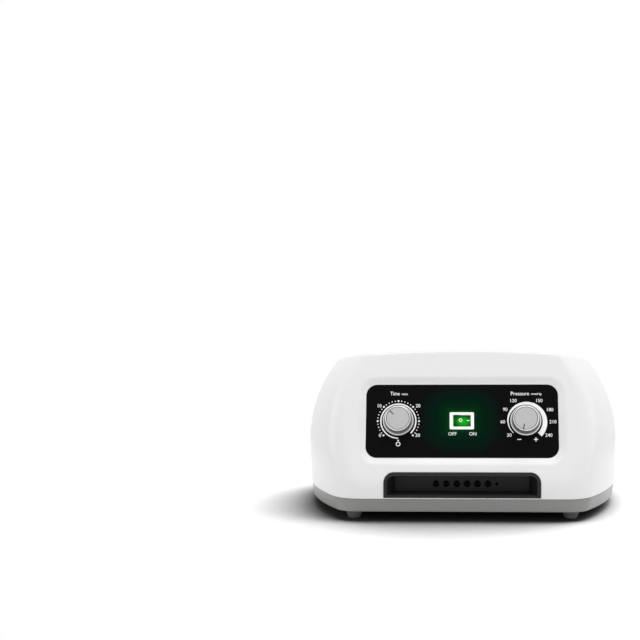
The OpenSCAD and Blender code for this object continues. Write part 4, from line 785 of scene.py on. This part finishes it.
def band(centre, degrees, inner, outer):
    """A flat arc: the four corners of its section, carried along rising angles, with a cap at either end."""
    shape = Shape()
    a = np.radians(degrees)[:, None]
    inner, outer = np.broadcast_to(inner, len(degrees)), np.broadcast_to(outer, len(degrees))
    r = np.stack([inner, inner, outer, outer], -1)
    flat = np.stack([centre[0] + r * np.cos(a), centre[1] + r * np.sin(a)], -1)
    grid = shape.add(on_panel(flat, np.array([INK_LOW, INK_HIGH, INK_HIGH, INK_LOW])[None]))
    shape.quads(grid)
    shape.faces += [grid[0][::-1].tolist(), grid[-1].tolist()]
    return shape


def hoop(centre, outer, inner, place=on_panel):
    """A flat ring: four circles joined round its section."""
    shape = Shape()
    line, wide = outline(centre, (outer, outer), outer - 1e-4, 8), outer - inner
    section = [(0, INK_LOW), (0, INK_HIGH), (wide, INK_HIGH), (wide, INK_LOW)]
    grid = shape.add(rings_along(line, section, place))
    shape.quads(np.concatenate([grid, grid[:1]]))
    return shape


def dot(centre, across):
    """A printed dot."""
    r = across / 2
    return slab(outline(centre, (r, r), r - 1e-4, 4), INK_LOW, INK_HIGH, on_panel, 0.01)


def bar(centre, wide, high, place=on_panel):
    """A printed bar."""
    return slab(outline(centre, (wide / 2, high / 2), 0.1, 2), INK_LOW, INK_HIGH, place, 0.01)


def lettering(words, centre, height, wide=None):
    """Words in the plain built-in face, printed at a height and, where given, a width."""
    curve = bpy.data.curves.new("letters", "FONT")
    curve.body, curve.resolution_u, curve.extrude, curve.offset = words, 3, 0.02, 0.006
    holder = bpy.data.objects.new("letters", curve)
    bpy.context.scene.collection.objects.link(holder)
    data = bpy.data.meshes.new_from_object(holder.evaluated_get(bpy.context.evaluated_depsgraph_get()))
    points = np.empty(len(data.vertices) * 3)
    data.vertices.foreach_get("co", points)
    points = points.reshape(-1, 3)
    low, high = points.min(0), points.max(0)
    scale = np.array([height / (high[1] - low[1])] * 2)
    if wide:
        scale[0] = wide / (high[0] - low[0])
    flat = (points[:, :2] - (low + high)[:2] / 2) * scale + centre
    shape = Shape()
    shape.add(on_panel(flat, INK_HIGH * (points[:, 2] > 0)))
    shape.faces = [list(p.vertices) for p in data.polygons]
    bpy.data.objects.remove(holder)
    bpy.data.curves.remove(curve)
    bpy.data.meshes.remove(data)
    return shape


def panel_print():
    """Scales, numerals and words, as raised ink 0.05 mm thick."""
    t, p = np.array([-KNOB_X, 0.0]), np.array([KNOB_X, 0.0])
    made = []
    for i in range(31):
        a = math.radians(225 - 9 * i)
        made.append(dot(t + TICK_R * np.array([math.cos(a), math.sin(a)]), 1.7 if i % 5 == 0 else 1.0))
    made.append(band(t, np.linspace(-45, 270, 120), 14.6, 15.8))
    made += [dot(t + [0, -17.3], 1.5), hoop(t + [0, -20.4], 2.05, 1.25)]
    sweep = np.linspace(-45, 225, 110)
    made.append(band(p, sweep, 14.6, 14.6 + 0.5 + 4.1 * (225 - sweep) / 270))
    words = [("0", (-15.8, -12.6)), ("10", (-16.4, 13.7)), ("20", (17.0, 13.7)), ("30", (16.9, -12.6))]
    made += [lettering(w, t + at, NUMERAL_H) for w, at in words]
    words = [("30", (-14.2, -12.4)), ("60", (-19.6, -0.6)), ("90", (-17.5, 10.4)), ("120", (-10.2, 18.3)),
             ("150", (12.1, 18.3)), ("180", (21.2, 10.2)), ("210", (23.4, -0.6)), ("240", (19.7, -12.4))]
    made += [lettering(w, p + at, NUMERAL_H) for w, at in words]
    made += [lettering("Time", t + [-3.1, 24.7], 3.3, 8.3), lettering("min", t + [5.4, 24.2], 1.9, 5.1)]
    made += [lettering("Pressure", p + [-4.6, 24.6], 3.3, 15.8), lettering("mmHg", p + [9.5, 24.0], 2.4, 8.9)]
    made += [bar(p + [-5.6, -16.2], 3.6, 0.8), bar(p + [8.6, -16.2], 3.6, 0.8), bar(p + [8.6, -16.2], 0.8, 3.6)]
    made += [lettering("OFF", (-8.1, -11.3), NUMERAL_H), lettering("ON", (9.4, -11.3), NUMERAL_H)]
    mesh_piece("panel_print", made, WHITE_INK, "pump_case")


# ---- Knobs ----
def knob(name, x, pointer, material, body, node_name):
    """A turned knob with a skirt and a chamfered grip. Columns beside the pointer line keep a fixed distance
    from it at every radius, so that its groove, half a millimetre deep from radius 5 to the rim, has straight
    sides. The face is a parabola that rises to the middle."""
    face_r, face_z = 9.3, 10.87
    line = rounded([(0, 4), (9.5, 4), (9.5, 0.8), (13.0, 0.8), (13.5, 1.3), (13.5, 3.0), (12.95, 3.6),
                    (11.2, 3.6), (11.2, 4.3), (11.5, 4.6), (11.5, 9.7), (10.75, 10.95), (10.25, 10.95),
                    (10.1, 10.55), (9.8, 10.55), (9.65, 10.85), (face_r, face_z)],
                   [0, 0.2, 0.2, 0.2, 0.2, 0.3, 0.2, 0.2, 0.1, 0.15, 0.5, 0.35, 0.12, 0.1, 0.1, 0.1, 0], 4)
    r_top = np.concatenate([np.linspace(9.1, 4.2, 24), [3.4, 2.4, 1.3, 0.6]])
    h_top = face_z + (KNOB_TOP - face_z) * (1 - (r_top / face_r) ** 2)
    line = np.concatenate([line, np.stack([r_top, h_top], -1)])
    beside = np.array([-0.62, -0.5, -0.4, -0.2, 0.0, 0.2, 0.4, 0.5, 0.62])
    r = line[1:, :1]
    safe = np.maximum(r, 1.3)
    near = np.arcsin(beside / safe)
    share = np.linspace(0, 1, 172)[1:-1]
    first, last = near[:, -1:], 2 * np.pi + near[:, :1]
    angle = np.concatenate([near, first + (last - first) * share], 1) + math.radians(pointer)
    across = np.concatenate([np.abs(beside), np.full(len(share), 9.0)])
    deep = 0.5 * np.clip((0.5 - across) / 0.1, 0, 1) * np.clip((r - 4.8) / 0.3, 0, 1) * (line[1:, 1:] > 9.3)
    flat = np.stack([r * np.cos(angle), r * np.sin(angle)], -1)
    shape = Shape()
    shape.turned(on_panel(flat, line[1:, 1:] - deep, x), on_panel(np.zeros(2), 4.0, x),
                 on_panel(np.zeros(2), KNOB_TOP, x))
    mesh_piece(name, shape, material, body, node=(node_name,), slot="knob_silver", corner=38)

    def in_groove(flat, h):
        """Coordinates along and across the pointer line."""
        c, s = math.cos(math.radians(pointer)), math.sin(math.radians(pointer))
        turned = np.stack([flat[..., 0] * c - flat[..., 1] * s, flat[..., 0] * s + flat[..., 1] * c], -1)
        return on_panel(turned, h, x)
    # painted shade: a dark strip on the groove's floor stands in for the shade in the groove
    ink = slab(outline((7.55, 0), (2.2, 0.36), 0.2, 3), 10.3, 10.56, in_groove, 0.02)
    mesh_piece(name + "_pointer", ink, POINTER_GROOVE_SHADE, body)


# ---- Rocker marks ----
RIDGE_X, ROCKER_TOP, ROCKER_TILT = 0.45, 0.47, math.radians(20)


def on_low_side(flat, h):
    """The pressed half of the rocker, level with the panel and just above it."""
    return on_panel(flat, ROCKER_TOP + h)


def on_high_side(flat, h):
    """The raised half of the rocker: 20 degrees steeper, its coordinates measured from the ridge line."""
    c, s = math.cos(ROCKER_TILT), math.sin(ROCKER_TILT)
    u = flat[..., 0]
    turned = np.stack([RIDGE_X + u * c + h * s + 0 * u, flat[..., 1]], -1)
    return on_panel(turned, ROCKER_TOP - u * s + h * c)


def rocker_marks():
    """The printed ring and dash of the switch."""
    made = [hoop((-1.66, 0.6), 1.62, 0.95, place=on_high_side), bar((5.6, 0.4), 2.6, 0.65, on_low_side)]
    mesh_piece("rocker_marks", made, WHITE_INK, "power_rocker")


case_skin()
base_skin()
feet()
panel_plate()
panel_print()
knob("timer_dial", -KNOB_X, 137.0, TIMER_SILVER, "timer_control", "timer_knob")
knob("pressure_dial", KNOB_X, 254.5, PRESSURE_SILVER, "pressure_control", "pressure_knob")
rocker_marks()
softened("hose_bay", "bay_frame", BLACK_ABS, "pump_case", 0.5, slot="bay_black")
softened("switch_body", "switch_bezel", SWITCH_WHITE, "pump_case", 0.35, slot="switch_white")
softened("switch_rocker", "switch_key", ROCKER_GREEN, "power_rocker", 0.3, slot="rocker_green")
softened("mains_inlet", "inlet_frame", PORT_BLACK_AND_SHADE, "pump_case", 0.5, slot="inlet_black")
softened("fuse_drawer", "fuse_slide", PORT_BLACK_AND_SHADE, "fuse_holder", 0.35, slot="inlet_black")
softened("rating_plate", "blank_plate", LABEL, "pump_case", 0.12, slot="label_silver")

# ---- The CAD nodes that stay, by finish ----
FINISHES = {
    STEEL: ["manifold_screws", "timer_nut", "timer_shaft", "regulator_nut", "pressure_shaft",
            "regulator_spring", "distributor_shaft", "distributor_screws", "motor_screws", "core_screws",
            "head_screws", "inlet_pins", "inlet_screws", "foot_screws", "case_screws"],
    BRASS: ["timer_terminals", "spring_follower", "relief_valve", "switch_terminals"],
    INNER_GREY: ["regulator_body", "regulator_cap"],
    PORT_BLACK_AND_SHADE: ["hose_manifold"],
    SEAL_RUBBER: ["port_seals", "compressor_mounts", "diaphragms"],
    IVORY: ["timer_body", "timer_cover", "terminal_block"],
    LAMP: ["switch_lamp"],
    FUSE_GLASS: ["fuse"],
    ACETAL: ["distributor_body", "distributor_cover", "valve_disc", "pump_heads"],
    MOTOR_STEEL: ["distributor_motor"],
    TUBE: ["port_tubes", "supply_tube", "link_tube", "regulator_tube"],
    BED_METAL: ["compressor_bed", "armature"],
    CORE_IRON: ["stator_cores", "armature_magnets"],
    COIL_TAPE: ["stator_coils"],
    FELT: ["intake_filters"],
    WIRE_BROWN: ["wiring"],
}
for finish, names in FINISHES.items():
    for name in names:
        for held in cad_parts[name].material_slots:
            held.material = finish


# ---- Floor and light ----
FLOOR_HALF, WHITE_FROM, WHITE_AT = 6.0, 0.3, 0.5
SHADE_REACH, SHADE_WAY = 0.25, (0.4, 0.6, 0.69)  # how far off the object shades the floor, and the open side


def clear_sight(tree):
    """1 for camera, glossy and transmission rays."""
    path = node(tree, "ShaderNodeLightPath")
    seen = path.outputs["Is Camera Ray"]
    for other in ("Is Glossy Ray", "Is Transmission Ray"):
        seen = math_node(tree, "MAXIMUM", seen, path.outputs[other])
    return seen


def white_ground():
    """A pale studio floor. Light falls on it as on plain paper. What the camera and mirrors see of it is
    darkened where the object shades it from the back and the right, and turns plain white from 0.3 to 0.5 m
    away, so that it reads as white paper with the object's soft shadow on it."""
    data = bpy.data.meshes.new("floor")
    h = FLOOR_HALF
    data.from_pydata([(-h, -h, 0), (h, -h, 0), (h, h, 0), (-h, h, 0)], [], [(0, 1, 2, 3)])
    floor = bpy.data.objects.new("floor", data)
    bpy.context.scene.collection.objects.link(floor)
    made = bpy.data.materials.new("studio_paper")
    made.use_nodes = True
    tree = made.node_tree
    tree.nodes.clear()
    plain = node(tree, "ShaderNodeBsdfDiffuse", {"Color": srgb("#e6e6e6")}).outputs[0]
    way = node(tree, "ShaderNodeCombineXYZ", dict(zip("XYZ", SHADE_WAY))).outputs[0]
    open_air = node(tree, "ShaderNodeAmbientOcclusion", {"Distance": SHADE_REACH, "Normal": way}, samples=16)
    bright = span(tree, open_air.outputs["AO"], 0.36, 0.82, 0.06, 1.25)
    paper = node(tree, "ShaderNodeBsdfDiffuse", {"Color": bright}).outputs[0]
    white = node(tree, "ShaderNodeEmission", {"Color": (1.0, 1.0, 1.0, 1.0), "Strength": 1.0}).outputs[0]
    place = node(tree, "ShaderNodeTexCoord").outputs["Object"]
    away = node(tree, "ShaderNodeVectorMath", {0: place}, operation="LENGTH").outputs["Value"]
    fade = span(tree, away, WHITE_FROM, WHITE_AT, interpolation_type="SMOOTHSTEP")
    seen = node(tree, "ShaderNodeMixShader", {0: fade, 1: paper, 2: white}).outputs[0]
    mixed = node(tree, "ShaderNodeMixShader", {0: clear_sight(tree), 1: plain, 2: seen}).outputs[0]
    node(tree, "ShaderNodeOutputMaterial", {"Surface": mixed})
    data.materials.append(made)


def sky(strength):
    """White where the camera, glossy and clear surfaces see it, and a plain soft light for the rest."""
    world = bpy.data.worlds.new("studio")
    bpy.context.scene.world = world
    world.use_nodes = True
    tree = world.node_tree
    tree.nodes.clear()
    level = span(tree, clear_sight(tree), 0.0, 1.0, strength, 1.0)
    lit = node(tree, "ShaderNodeBackground", {"Color": (1.0, 1.0, 1.0, 1.0), "Strength": level}).outputs[0]
    node(tree, "ShaderNodeOutputWorld", {"Surface": lit})


def softbox(name, at, aim, size, power):
    """A rectangular lamp at a point, facing another, in metres and watts."""
    data = bpy.data.lights.new(name, "AREA")
    data.shape, data.size, data.size_y, data.energy = "RECTANGLE", size[0], size[1], power
    lamp = bpy.data.objects.new(name, data)
    bpy.context.scene.collection.objects.link(lamp)
    lamp.location = at
    lamp.rotation_mode = "QUATERNION"
    lamp.rotation_quaternion = (Vector(aim) - Vector(at)).to_track_quat("-Z", "Y")


white_ground()
sky(0.6)
softbox("overhead", (0.25, -0.35, 1.7), (0, 0, 0.07), (1.8, 1.2), 16.0)
softbox("front", (0.0, -2.3, 0.9), (0, 0, 0.08), (2.4, 1.0), 2.0)
softbox("left", (-1.9, -0.1, 0.6), (0, 0, 0.08), (1.2, 1.2), 4.5)
softbox("right", (1.9, -0.1, 0.6), (0, 0, 0.08), (1.2, 1.2), 3.5)
bpy.context.scene.view_settings.view_transform = "Standard"
